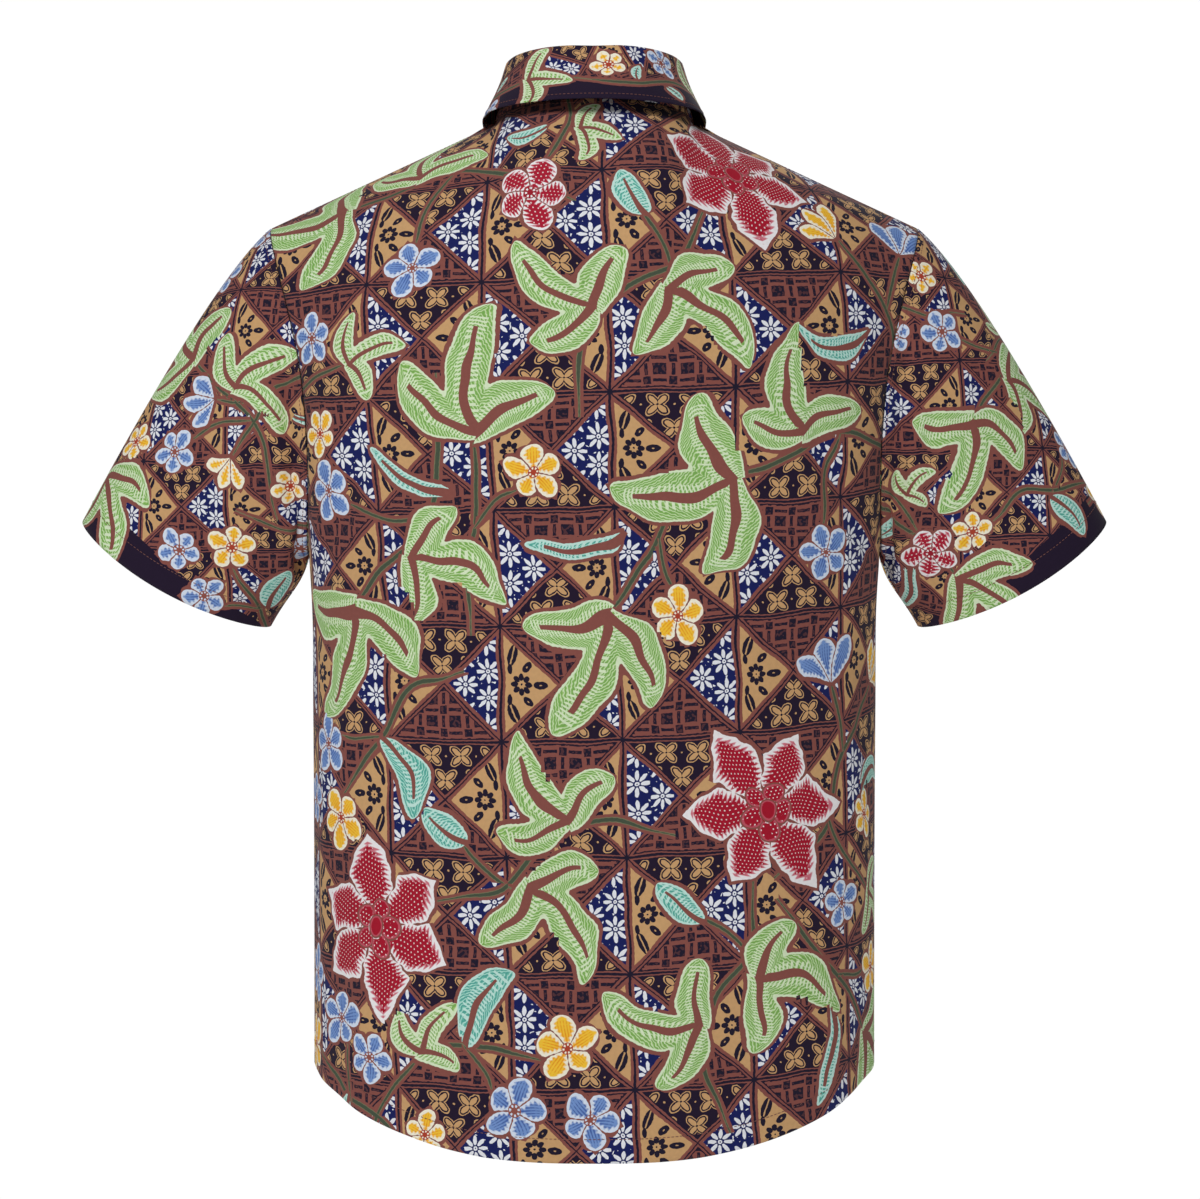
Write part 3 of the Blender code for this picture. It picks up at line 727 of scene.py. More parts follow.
def motif_corners(middles, corners, motifs):
    """For each corner of each face, its place in the frame of the motif whose
    outline the face is deepest in, or nearest to."""
    deepest = np.full(len(middles), -PRINT_MARGIN)
    placed = np.zeros((*corners.shape[:2], 3))
    tested = np.concatenate([corners, middles[:, None]], axis=1)
    for motif in motifs:
        away = np.abs(middles - (motif.x, motif.y)).max(axis=1)
        near = np.flatnonzero(away < motif.size * MOTIF_REACH)
        turn = math.radians(motif.turn)
        way = np.array([[math.cos(turn), -math.sin(turn)], [math.sin(turn), math.cos(turn)]])
        own = (tested[near] - (motif.x, motif.y)) @ way / motif.size
        depth = outline_depth(KINDS[motif.kind], own[..., 0], own[..., 1], motif.size)
        depth = depth.mean(axis=1) * 0.5 + depth.max(axis=1) * 0.5
        closer = depth > deepest[near]
        deepest[near[closer]] = depth[closer]
        code = np.full((closer.sum(), 4, 1), KIND_NAMES.index(motif.kind) + 1 + motif.size)
        placed[near[closer]] = np.concatenate([own[closer, :4], code], axis=2)
    return placed


def stem_line(stem):
    """Points along a stem, with its way and half width at each."""
    points = np.array(stem.points, float)
    line = between_rows(points, np.linspace(0, len(points) - 1, STEM_STEPS * len(points)))
    way = unit(np.gradient(line, axis=0))
    share = np.linspace(0, 1, len(line))
    fullness = np.minimum(1, STEM_TAPER * np.minimum(share, 1 - share))
    half_width = stem.width / 2 * (STEM_TIP + (1 - STEM_TIP) * fullness)
    return np.column_stack([line, way, half_width])


def kd_tree(points):
    tree = kdtree.KDTree(len(points))
    for place, point in enumerate(points):
        tree.insert((point[0], point[1], 0.0), place)
    tree.balance()
    return tree


def stem_corners(middles, corners, stems):
    """For each corner of each face, how far it is across the nearest stem, and the
    stem's half width there."""
    placed = np.tile(np.array([1.0, 0.0, -1.0]), (*corners.shape[:2], 1))
    nearest = np.full(len(middles), PRINT_MARGIN)
    for stem in stems:
        line = stem_line(stem)
        tree = kd_tree(line)
        low = line[:, :2].min(axis=0) - PRINT_MARGIN
        high = line[:, :2].max(axis=0) + PRINT_MARGIN
        for face in np.flatnonzero(((middles > low) & (middles < high)).all(axis=1)):
            away = tree.find((*middles[face], 0.0))[2]
            if away >= nearest[face]:
                continue
            nearest[face] = away
            for corner, place in enumerate(corners[face]):
                here = line[tree.find((*place, 0.0))[1]]
                across = (place[1] - here[1]) * here[2] - (place[0] - here[0]) * here[3]
                placed[face, corner] = (across, 0.0, here[4])
    return placed


def add_corner_values(mesh, name, values):
    layer = mesh.attributes.new(name, "FLOAT_VECTOR", "CORNER")
    layer.data.foreach_set("vector", values.ravel())


def grid_faces(grid):
    """The four corners of each face of a grid, by their places in it."""
    rows, columns = grid.shape[:2]
    start = np.arange((rows - 1) * columns).reshape(rows - 1, columns)[:, :-1].ravel()
    return np.stack([start, start + 1, start + columns + 1, start + columns], axis=1)


def add_object(name, mesh):
    """Puts a finished mesh in the scene."""
    piece = bpy.data.objects.new(name, mesh)
    bpy.context.collection.objects.link(piece)
    return piece


def add_cloth(name, sheet, motifs, stems, patches=BODY_PATCHES, border=None):
    """Makes a cloth piece from its grid, with its print and its thickness."""
    faces = grid_faces(sheet)
    mesh = bpy.data.meshes.new(name)
    mesh.from_pydata(sheet[..., :3].reshape(-1, 3).tolist(), [], faces.tolist())
    corners = sheet[..., 3:5].reshape(-1, 2)[faces]
    mesh.uv_layers.new(name="cut").data.foreach_set("uv", corners.ravel())
    squares = patch_places(corners, patches)
    mesh.uv_layers.new(name="patchwork").data.foreach_set("uv", squares.ravel())
    middles = corners.mean(axis=1)
    add_corner_values(mesh, "motif", motif_corners(middles, corners, motifs))
    add_corner_values(mesh, "stem", stem_corners(middles, corners, stems))
    inside = np.full(sheet.shape[:2], -1.0) if border is None else border
    mesh.attributes.new("border", "FLOAT", "POINT").data.foreach_set("value", inside.ravel())
    mesh.materials.append(batik)
    mesh.shade_smooth()
    piece = add_object(name, mesh)
    wall = piece.modifiers.new("thickness", "SOLIDIFY")
    wall.thickness = CLOTH_THICKNESS
    wall.offset = -1.0
    return piece


def cut_size(sheet):
    """The width, the length and the area of a sheet as it was cut."""
    flat = sheet[..., 3:5]
    width, height = np.ptp(flat.reshape(-1, 2), axis=0)
    across = flat[1:, 1:] - flat[:-1, :-1]
    up = flat[1:, :-1] - flat[:-1, 1:]
    area = np.abs(across[..., 0] * up[..., 1] - across[..., 1] * up[..., 0]).sum() / 2
    return float(width), float(height), float(area)


# What grows together as a spray, from its stem's foot along its own first axis:
# its motifs and its stems.
Spray = namedtuple("Spray", "motifs stems")
SPRAYS = {
    "star": Spray(
        (
            Motif("star", 0.142, 0.004, 14, 0.061),
            Motif("leaf", 0.026, 0.020, 98, 0.070),
            Motif("leaf", -0.014, -0.014, -84, 0.066),
            Motif("teal_leaf", 0.060, -0.030, -62, 0.038),
        ),
        (
            Stem(
                0.0036,
                ((-0.072, 0.018), (-0.04, -0.004), (0.004, -0.006), (0.044, 0.012), (0.08, 0.006)),
            ),
            Stem(0.0027, ((0.040, 0.012), (0.052, -0.006), (0.060, -0.028))),
        ),
    ),
    "leaves": Spray(
        (
            Motif("leaf", 0.098, 0.002, 8, 0.084),
            Motif("leaf", 0.040, 0.024, 98, 0.070),
            Motif("blue", 0.036, -0.062, 10, 0.021),
        ),
        (
            Stem(
                0.0036,
                ((-0.070, -0.022), (-0.030, 0.004), (0.012, 0.020), (0.060, 0.008), (0.100, 0.002)),
            ),
            Stem(0.0027, ((0.010, 0.018), (0.026, -0.008), (0.034, -0.044))),
        ),
    ),
    "blossoms": Spray(
        (
            Motif("gold", 0.084, 0.022, 40, 0.022),
            Motif("blue", 0.060, -0.028, 15, 0.021),
            Motif("blue", 0.112, -0.022, 75, 0.020),
            Motif("teal_leaf", 0.014, 0.016, 66, 0.048),
        ),
        (
            Stem(0.0036, ((-0.052, 0.010), (-0.022, -0.004), (0.016, 0.006), (0.062, 0.010))),
            Stem(0.0024, ((0.014, 0.006), (0.034, -0.010), (0.040, -0.018))),
        ),
    ),
    "buds": Spray(
        (
            Motif("gold_bud", 0.082, 0.024, 28, 0.030),
            Motif("blue_bud", 0.064, -0.026, -34, 0.034),
            Motif("crescent", 0.004, 0.036, 64, 0.056),
        ),
        (
            Stem(
                0.0034,
                ((-0.070, -0.018), (-0.034, 0.004), (0.010, 0.000), (0.046, 0.012), (0.080, 0.024)),
            ),
            Stem(0.0027, ((0.022, 0.002), (0.046, -0.012), (0.062, -0.026))),
        ),
    ),
    "drooping": Spray(
        (
            Motif("drooping_leaf", 0.062, 0.000, -12, 0.086),
            Motif("ribbon", 0.022, 0.030, 52, 0.062),
            Motif("gold", 0.030, -0.038, 0, 0.020),
        ),
        (
            Stem(0.0034, ((-0.066, 0.016), (-0.030, 0.014), (0.012, 0.004), (0.062, 0.000))),
            Stem(0.0025, ((-0.004, 0.008), (0.012, -0.010), (0.018, -0.024))),
        ),
    ),
    "small_leaves": Spray(
        (
            Motif("leaf", 0.040, 0.002, 10, 0.042),
            Motif("blue", 0.014, -0.030, 0, 0.018),
            Motif("gold", -0.008, 0.034, 50, 0.017),
        ),
        (
            Stem(0.0027, ((-0.044, 0.006), (-0.014, -0.004), (0.040, 0.002))),
        ),
    ),
    "rosette": Spray(
        (
            Motif("rosette", 0.052, 0.000, 30, 0.027),
            Motif("leaf", -0.010, 0.014, 92, 0.034),
            Motif("teal_leaf", 0.000, -0.014, -72, 0.026),
        ),
        (
            Stem(0.0027, ((-0.046, -0.010), (-0.014, 0.004), (0.026, 0.002))),
        ),
    ),
}

# Where a spray's foot is on the cut cloth, the way it grows, and 1 or -1 for
# whether it is turned over.
Place = namedtuple("Place", "spray x y turn side")

# A spray is set down in the best of many random places: with little of it past
# the cloth's edge, clear of the sprays before it, and not close to them.
TRIES = 240
CLEARANCE = 0.004
OVERHANG_COST = 0.06
DISTANCE_GAIN = 0.20
FARTHEST_GAIN = 0.13

# The round spots that stand for a petal, by their place down it and their breadth.
SPOT_PLACES = (0.30, 0.72)
SPOT_BREADTH = 0.9

# The square cells that tell where there is cloth: their width, how many there are
# each way, and how far they start outside the cloth.
CELL = 0.010
CELL_COUNT = 200
CELL_MARGIN = 0.3


def spray_spots(spray):
    """Round spots that cover a spray's motifs, by their middle and radius."""
    spots = []
    for motif in spray.motifs:
        kind = KINDS[motif.kind]
        for lobe in range(-kind.reach, kind.reach + 1):
            turn = math.radians(motif.turn + lobe * 360 / kind.petals)
            for down in SPOT_PLACES:
                far = motif.size * down
                middle = (motif.x + far * math.cos(turn), motif.y + far * math.sin(turn))
                spots.append((*middle, motif.size * kind.breadth * SPOT_BREADTH))
    return np.array(spots)


def laid_out(names, face, seed, share=1):
    """Sets sprays down on a panel one at a time, each in the clearest place of many."""
    draw = np.random.default_rng(seed)
    cut = face[..., 3:5].reshape(-1, 2)
    corner = cut.min(axis=0) - CELL_MARGIN
    cloth = np.zeros((CELL_COUNT, CELL_COUNT), dtype=bool)
    cloth[tuple(((cut - corner) / CELL).astype(int).T)] = True
    taken = np.zeros((0, 3))
    centres = np.zeros((0, 2))
    places = []
    for name in names:
        spots = spray_spots(SPRAYS[name]) * share
        foot = cut[draw.integers(len(cut), size=TRIES)]
        turn = draw.uniform(0, math.tau, (TRIES, 1))
        side = draw.choice((-1, 1), (TRIES, 1))
        x, y = spots[:, 0], spots[:, 1] * side
        across = foot[:, :1] + x * np.cos(turn) - y * np.sin(turn)
        up = foot[:, 1:] + x * np.sin(turn) + y * np.cos(turn)
        middles = np.stack([across, up], axis=2)
        cells = ((middles - corner) / CELL).astype(int)
        fault = OVERHANG_COST * (1 - cloth[cells[..., 0], cells[..., 1]].mean(axis=1))
        if places:
            gaps = np.hypot(across[..., None] - taken[:, 0], up[..., None] - taken[:, 1])
            lap = spots[:, 2, None] + taken[:, 2] + CLEARANCE - gaps
            fault += np.maximum(lap.max(axis=2), 0).sum(axis=1)
            centre = middles.mean(axis=1)
            apart = np.linalg.norm(centre[:, None] - centres, axis=2).min(axis=1)
            fault -= DISTANCE_GAIN * np.minimum(apart, FARTHEST_GAIN * share)
        best = fault.argmin()
        places.append(Place(name, *foot[best], math.degrees(turn[best, 0]), side[best, 0]))
        taken = np.concatenate([taken, np.column_stack([middles[best], spots[:, 2]])])
        centres = np.concatenate([centres, middles[best].mean(axis=0)[None]])
    return places


def grown(places, share=1):
    """The motifs and the stems of sprays at their places, drawn at a share of their size."""
    motifs = []
    stems = []
    for place in places:
        turn = math.radians(place.turn)

        def carried(x, y):
            x, y = x * share, y * share * place.side
            return (
                place.x + x * math.cos(turn) - y * math.sin(turn),
                place.y + x * math.sin(turn) + y * math.cos(turn),
            )

        spray = SPRAYS[place.spray]
        for motif in spray.motifs:
            x, y = carried(motif.x, motif.y)
            turned = place.turn + motif.turn * place.side
            motifs.append(Motif(motif.kind, x, y, turned, motif.size * share))
        for stem in spray.stems:
            stems.append(Stem(stem.width * share, tuple(carried(x, y) for x, y in stem.points)))
    return motifs, stems


# Where each place is: on the cut cloth, in the patchwork, in its motif's own
# frame, across the nearest stem, and from the dark border's line.
cut_x, cut_y, _ = split(cloth_value("cut", "Vector"))
patch_x, patch_y, _ = split(cloth_value("patchwork", "Vector"))
motif_x, motif_y, motif_code = split(cloth_value("motif", "Vector"))
stem_across, _, stem_half = split(cloth_value("stem", "Vector"))
border_depth = Drawn(cloth_value("border", "Fac"))

# The hand's wander, slow and quick.
on_cloth = joined(cut_x, cut_y)
slow, slow_parts = noise(on_cloth, 38.0)
quick, quick_parts = noise(on_cloth, 420.0)
slow_x, slow_y, _ = split(slow_parts)
quick_x, quick_y, grain = split(quick_parts)
wander_x = (slow_x - 0.5) * 0.036 + (quick_x - 0.5) * 0.007
wander_y = (slow_y - 0.5) * 0.036 + (quick_y - 0.5) * 0.007


def is_odd(whole):
    """1 where a whole number is odd and 0 where it is even."""
    return worked("FRACT", whole / 2.0 + 0.25) > 0.5


# One side of a square by its diagonal.
DIAGONAL = 0.7071

# The patchwork: squares cut by both diagonals. Along runs beside a triangle's
# outer edge and rise goes from that edge to its point at the square's middle.
square_x = patch_x + wander_x
square_y = patch_y + wander_y
in_x = repeated(square_x)
in_y = repeated(square_y)
odd_column = is_odd(square_x - in_x - 0.5)
odd_row = is_odd(square_y - in_y - 0.5)
upright = worked("GREATER_THAN", abs(in_y), abs(in_x))
rise = 0.5 - most(abs(in_x), abs(in_y))
along = chosen(upright, in_y, in_x)
inside = least(rise, abs(abs(in_x) - abs(in_y)) * DIAGONAL)
is_top = in_y > 0.0
is_left = in_x < 0.0
dark_fill = 1.0 - abs(is_top - odd_column)
navy_fill = 1.0 - abs(is_left - odd_row)
spotted = quick > 0.56


def lattice(pitch_along, pitch_rise, first_rise):
    """Where a place is from the nearest knot of a staggered lattice."""
    row = (rise - first_rise) / pitch_rise
    near_row = worked("ROUND", row)
    shift = is_odd(near_row) * 0.5
    return repeated(along / pitch_along + shift) * pitch_along, (row - near_row) * pitch_rise


# Dark fill: tan crosses of four petals, each with a tan outline.
cross_x, cross_y = lattice(0.265, 0.215, 0.125)
petal_far = (abs(cross_x) + abs(cross_y)) * DIAGONAL
petal_aside = (abs(cross_x) - abs(cross_y)) * DIAGONAL
petal_edge = oval(petal_far - 0.052, petal_aside, 0.046, 0.021)
petal_ring = oval(petal_far - 0.058, petal_aside, 0.062, 0.038)
cross_dot = length(abs(cross_x) - 0.1325, cross_y) < 0.0085
crosses = most(petal_edge < 1.0, (petal_ring < 1.05) * (petal_ring > 0.86), cross_dot)
crosses = crosses * (length(cross_x, cross_y) > 0.009)
dark_colour = mixed(crosses, AUBERGINE, TAN)

# Brown fill: a basket of bars and blocks.
knot_row = (rise - 0.085) / 0.19
bar_x = repeated(along / 0.21 + 0.5)
bar_y = repeated(knot_row + 0.5)
hole_x = repeated(along / 0.21)
hole_y = repeated(knot_row)
bars = most(
    block(bar_x, bar_y, 0.15, 0.18),
    block(hole_x, bar_y, 0.27, 0.070),
    block(bar_x, hole_y, 0.065, 0.26),
    block(hole_x, hole_y, 0.24, 0.25),
)
basket_colour = mixed((bars > 0.0) * (1.0 - 0.30 * spotted * (bars > 0.03)), BROWN, INK)

# Navy fill: white daisies with eight petals. Tan fill: a black sprig round a
# ring flower. Both flowers are folded into eight at once.
daisy_x, daisy_y = lattice(0.245, 0.20, 0.112)
flower_x = chosen(navy_fill, along, daisy_x)
flower_y = chosen(navy_fill, rise - 0.165, daisy_y)
flower_far = length(flower_x, flower_y)
eighths = worked("ARCTAN2", flower_y, flower_x) / (math.pi / 4)
off_axis = repeated(eighths + 0.5) * (math.pi / 4)
petal_along = flower_far * worked("COSINE", off_axis)
petal_across = flower_far * worked("SINE", off_axis)
eight = oval(
    petal_along - chosen(navy_fill, 0.060, 0.070),
    petal_across,
    chosen(navy_fill, 0.030, 0.042),
    chosen(navy_fill, 0.0225, 0.0165),
)
ring = (abs(flower_far - 0.012) < 0.006) * navy_fill + (flower_far < 0.008) * (1.0 - navy_fill)
specks = (quick > 0.78) * (flower_far > 0.105) * navy_fill
folded_along = abs(along)
leaf_far = (folded_along - 0.245) * 0.94 + (rise - 0.105) * 0.34
leaf_aside = (rise - 0.105) * 0.94 - (folded_along - 0.245) * 0.34
big_leaf = (oval(leaf_far, leaf_aside, 0.092, 0.042) < 1.0) * (abs(leaf_aside) > 0.006)
small_leaf = oval(
    (folded_along - 0.140) * 0.7 - (rise - 0.225) * 0.7,
    (folded_along - 0.140) * 0.7 + (rise - 0.225) * 0.7,
    0.027,
    0.048,
)
bud_leaf = oval(folded_along - 0.130, rise - 0.072, 0.044, 0.021)
side_leaf = oval(along, rise - 0.325, 0.028, 0.056)
sprig_leaves = most(
    big_leaf,
    (small_leaf < 1.1) * (small_leaf > 0.22),
    (bud_leaf < 1.0),
    (side_leaf < 1.1) * (side_leaf > 0.20),
)
side_ink = most(eight < 1.0, ring, specks, sprig_leaves * (1.0 - navy_fill))
side_colour = mixed(
    side_ink,
    mixed(navy_fill, TAN, NAVY),
    mixed(navy_fill, INK, WHITE),
)

# Each triangle has a brown band at its edges, with dark lines along it.
fill_colour = mixed(upright, side_colour, mixed(dark_fill, basket_colour, dark_colour))
line_wobble = (slow - 0.5) * 0.010
inner_line = 0.033 + line_wobble
line_width = upright * 0.0110
patch_colour = mixed(inside < inner_line, fill_colour, INK)
patch_colour = mixed(inside < inner_line - line_width, patch_colour, BROWN)
patch_colour = mixed(inside < 0.0058 + line_wobble * 0.3, patch_colour, INK)
patch_colour = mixed(rise < 0.0105 + line_wobble * 0.3, patch_colour, INK)

# The dark border at the sleeve ends and the collar's edge.
ground_colour = mixed(border_depth > 0.0, patch_colour, AUBERGINE)

# Stems, dark green with a paler edge, in a brown gap.
stem_in = stem_half - abs(stem_across + (slow_x - 0.5) * 0.0030) + (quick - 0.5) * 0.0005
ground_colour = mixed(stem_in > -0.0022, ground_colour, BROWN)
ground_colour = mixed(stem_in > 0.0, ground_colour, STEM_EDGE)
ground_colour = mixed(stem_in > 0.0005, ground_colour, STEM)

# The motifs: petals or leaves round a middle, all from one outline.
motif_kind = worked("FLOOR", motif_code)
motif_size = motif_code - motif_kind
is_large = motif_kind < 1.5
is_crimson = motif_kind < 2.5
is_flower = motif_kind < FIRST_LEAFY - 0.5
is_bud = motif_kind > LAST_LEAFY + 0.5
is_leafy = (motif_kind > FIRST_LEAFY - 0.5) * (motif_kind < LAST_LEAFY + 0.5)


def first_numbers(name):
    kind = KINDS[name]
    return (kind.petals / 10, kind.reach / 10, kind.breadth, 1.0)


def second_numbers(name):
    kind = KINDS[name]
    return (kind.fullness, kind.outward / 2, kind.curl / 2, 1.0)


petals, reach, breadth = split(by_kind(motif_kind, first_numbers).socket)
fullness, outward, curl = split(by_kind(motif_kind, second_numbers).socket)
small_wander = 0.011 / (motif_size + 0.030)
bent_x = motif_x + (slow_x - 0.5) * small_wander
bent_y = motif_y + (slow_y - 0.5) * small_wander
from_middle = length(bent_x, bent_y)
petals = petals * 10.0
reach = reach * 10.0
petal_turn = math.tau / petals
turns = worked("ARCTAN2", bent_y, bent_x) / petal_turn
base = is_leafy * LEAF_BASE


def in_petal(number):
    """How deep a place is in one petal, and where it is down and across it."""
    off_petal = (turns - number) * petal_turn
    lopsided = worked("SINE", number * petal_turn * 2.0 + motif_size * LOPSIDED_TURN)
    uneven = 1.0 + LOPSIDED * lopsided - is_leafy * abs(number) * SIDE_LOBE_SHORTER
    down = from_middle * worked("COSINE", off_petal) / uneven
    bend = (down * down - down) * curl * 2.0
    across = from_middle * worked("SINE", off_petal) + bend * (1.0 + lopsided * 0.5)
    share = between_0_and_1((down - base) / (1.0 - base))
    half_breadth = breadth * worked("SINE", math.pi * share ** (outward * 2.0)) ** fullness
    past_end = most(down - 1.0, base - down, 0.0)
    return half_breadth - abs(across) - past_end, down, across, share


# Two petals can hold a place: the one it lies by, and the next one over, where
# that one bends across. Leaf lobes run together in the crook between them.
near_number = worked("ROUND", least(most(turns, -1.0 * reach), reach))
next_number = near_number + chosen(turns > near_number, -1.0, 1.0)
near_petal = in_petal(near_number)
next_petal = in_petal(next_number)
next_rim = next_petal[0] - (abs(next_number) > reach + 0.5) * 9.0
in_next = (next_rim > near_petal[0]) * is_leafy
down_petal, aside, on_petal = [
    chosen(in_next, near, other) for near, other in zip(near_petal[1:], next_petal[1:])
]
crook = most(LOBE_CROOK - abs(near_petal[0] - next_rim), 0.0)
leaf_rim = most(near_petal[0], next_rim) + crook * crook / (4.0 * LOBE_CROOK)
gap_turn = petal_turn * 0.5 - abs(turns - near_number) * petal_turn
flower_rim = least(near_petal[0], from_middle * worked("SINE", gap_turn) - 0.0004 / motif_size)
ripple = worked("SINE", on_petal * 30.0 + slow * 5.0) * is_large
depth = chosen(is_leafy, flower_rim, leaf_rim) * motif_size
depth = depth + (quick - 0.5) * 0.0007 + ripple * 0.0007
drawn_here = motif_code > 0.5
deep = between_0_and_1(depth / 0.0010)

# Down each petal and across it, in metres.
run = down_petal * motif_size
cross = aside * motif_size
teeth = worked("SINE", run * (math.tau / 0.0031) + abs(cross) * 420.0 + slow * 9.0)
rays = worked("SINE", cross * (math.tau / 0.0019) + slow * 7.0)

by_edge = by_kind(motif_kind, lambda name: DYES[name].edge)
by_body = by_kind(motif_kind, lambda name: DYES[name].body)
by_ink = by_kind(motif_kind, lambda name: DYES[name].ink)
by_heart = by_kind(motif_kind, lambda name: DYES[name].heart)

# Crimson petals: white scalloped margins, feathered into a dotted middle.
margin = chosen(is_large, 0.0012, 0.0025) * (0.35 + 2.4 * on_petal * on_petal)
feather = between_0_and_1((depth - margin * 0.8 + teeth * 0.0016) / 0.0016)
flesh = between_0_and_1((depth - margin * 1.45 + teeth * 0.0018) / 0.0014)
dot_row = worked("FLOOR", cross / 0.0027)
dot_x = repeated(run / 0.0031 + 0.5 * dot_row)
dot_y = repeated(cross / 0.0027)
dots = (length(dot_x, dot_y) < 0.17) * (depth > margin * 1.2)
crimson = mixed(feather * 0.9, by_edge, by_ink)
crimson = mixed(flesh, crimson, by_body)
crimson = mixed(dots * 0.8, crimson, by_edge)

# Small petals: pale edges and tips, and strokes of dye running out from the heart.
pale = between_0_and_1((depth - 0.0009 - 0.0024 * on_petal * on_petal + teeth * 0.0006) / 0.0014)
small_petal = mixed(pale, by_edge, by_body)
petal_ink = between_0_and_1(1.25 + rays * 0.55 - on_petal * 1.9) * pale
small_petal = mixed(petal_ink * 0.9, small_petal, by_ink)
dashes = (rays > 0.55) * (teeth > -0.2) * (on_petal < 0.85)
small_petal = mixed(dashes * pale * 0.7, small_petal, by_ink)

# Leaves: a pale edge, a hatched blade, a comb of strokes by the vein.
vein_width = (0.056 - 0.044 * on_petal) * motif_size
off_vein = abs(cross) - vein_width
hatch = worked("SINE", (run * 0.6 + abs(cross)) * (math.tau / 0.0021) + quick * 5.0 + slow * 8.0)
blade = mixed(between_0_and_1(hatch * 1.3) * 0.72, by_body, by_ink)
blade = mixed(between_0_and_1(-1.0 * hatch * 1.6 - 0.5) * 0.85, blade, by_edge)
comb = (teeth > 0.1) * (off_vein < 0.0030 + quick * 0.0030) * (on_petal < 0.90)
blade = mixed(comb, blade, by_edge)
blade = mixed(between_0_and_1((depth - 0.0013) / 0.0005), by_edge, blade)
has_vein = (off_vein < 0.0) * (on_petal < 0.82)
blade = mixed(has_vein, blade, by_heart)

motif_colour = mixed(is_flower, blade, mixed(is_crimson, small_petal, crimson))
motif_colour = mixed(is_bud, motif_colour, small_petal)

# A flower's heart: a ring of dots round a darker eye, or on the large flower
# small curled petals round one more.
in_flower = from_middle * motif_size
has_heart = (in_flower < 0.0040) * is_flower
heart_dots = (abs(in_flower - 0.0027) < 0.0007) * (worked("SINE", turns * 9.0) > 0.0)
heart_colour = mixed(heart_dots, by_heart, by_edge)
curls = repeated(turns * (5.0 / 6.0) + 0.5) * (math.tau / 5.0)
curl_x = in_flower * worked("COSINE", curls) - 0.0125
curl_y = in_flower * worked("SINE", curls)
in_eye = in_flower < 0.0080
curl_edge = chosen(in_eye, length(curl_x, curl_y) - 0.0078, in_flower - 0.0070)
curl_colour = mixed(curl_edge < -0.0019 + teeth * 0.0004, by_heart, by_body)
curl_colour = mixed(dots * (curl_edge < -0.0015), curl_colour, by_edge)
curl_colour = mixed(curl_edge > -0.0007, curl_colour, BROWN)
has_curls = (curl_edge < 0.0004) * is_large

print_colour = mixed(drawn_here * (depth > -0.0030), ground_colour, BROWN)
print_colour = mixed(drawn_here * (depth > 0.0), print_colour, motif_colour)
print_colour = mixed(drawn_here * has_heart, print_colour, heart_colour)
print_colour = mixed(drawn_here * has_curls, print_colour, curl_colour)

# The dye's own unevenness, and the cotton's weave.
WEAVE_PITCH = 0.00055
mottle, _ = noise(on_cloth, 9.0, 2.0)
shade = 0.91 + mottle * 0.10 + grain * 0.10
hue_node = batik_nodes.new("ShaderNodeHueSaturation")
join(shade, hue_node.inputs["Value"])
batik_links.new(print_colour.socket, hue_node.inputs["Color"])
batik_links.new(hue_node.outputs["Color"], batik_shader.inputs["Base Color"])
warp_thread = worked("SINE", cut_x * (math.tau / WEAVE_PITCH))
weft_thread = worked("SINE", cut_y * (math.tau / WEAVE_PITCH))
weave = warp_thread * weft_thread * 0.5 + grain * 0.6
weave_bump = batik_nodes.new("ShaderNodeBump")
weave_bump.inputs["Strength"].default_value = 0.18
weave_bump.inputs["Distance"].default_value = 0.0002
batik_links.new(weave.socket, weave_bump.inputs["Height"])
batik_links.new(weave_bump.outputs["Normal"], batik_shader.inputs["Normal"])
batik_shader.inputs["Roughness"].default_value = 0.86
batik_shader.inputs["Specular IOR Level"].default_value = 0.25
batik_shader.inputs["Sheen Weight"].default_value = 0.05
batik_shader.inputs["Sheen Roughness"].default_value = 0.5


# Thread of stitching: each stitch dips into the cloth at both ends. The machine's
# rows run beside hems and seams.
HEM_STITCH = 0.0165
SEAM_STITCH = 0.0045
STITCH_PITCH = 0.0030
STITCH_LENGTH = 0.0023
STITCH_BREADTH = 0.00055
STITCH_RISE = 0.00030
STITCH_DIP = 0.00015
STITCH_LIFT = 0.00008
STITCH_SHOULDER = 0.6


def grained(name, dark, pale, fineness, roughness_of_touch):
    """A material with a grain that shows in its colour and is felt on its surface."""
    material = bpy.data.materials.new(name)
    material.use_nodes = True
    nodes = material.node_tree.nodes
    links = material.node_tree.links
    shader = nodes["Principled BSDF"]
    place = nodes.new("ShaderNodeTexCoord")
    fleck = nodes.new("ShaderNodeTexNoise")
    fleck.inputs["Scale"].default_value = fineness
    tint = nodes.new("ShaderNodeMix")
    tint.data_type = "RGBA"
    tint.inputs[6].default_value = dark
    tint.inputs[7].default_value = pale
    bump = nodes.new("ShaderNodeBump")
    bump.inputs["Strength"].default_value = roughness_of_touch
    bump.inputs["Distance"].default_value = 0.0001
    links.new(place.outputs["Object"], fleck.inputs["Vector"])
    links.new(fleck.outputs["Fac"], tint.inputs[0])
    links.new(tint.outputs[2], shader.inputs["Base Color"])
    links.new(fleck.outputs["Fac"], bump.inputs["Height"])
    links.new(bump.outputs["Normal"], shader.inputs["Normal"])
    return material, shader, fleck


thread_material, thread_shader, _ = grained(
    "sewing_thread", dye(92, 54, 54), dye(164, 108, 94), 2600, 0.4
)
thread_shader.inputs["Roughness"].default_value = 0.62


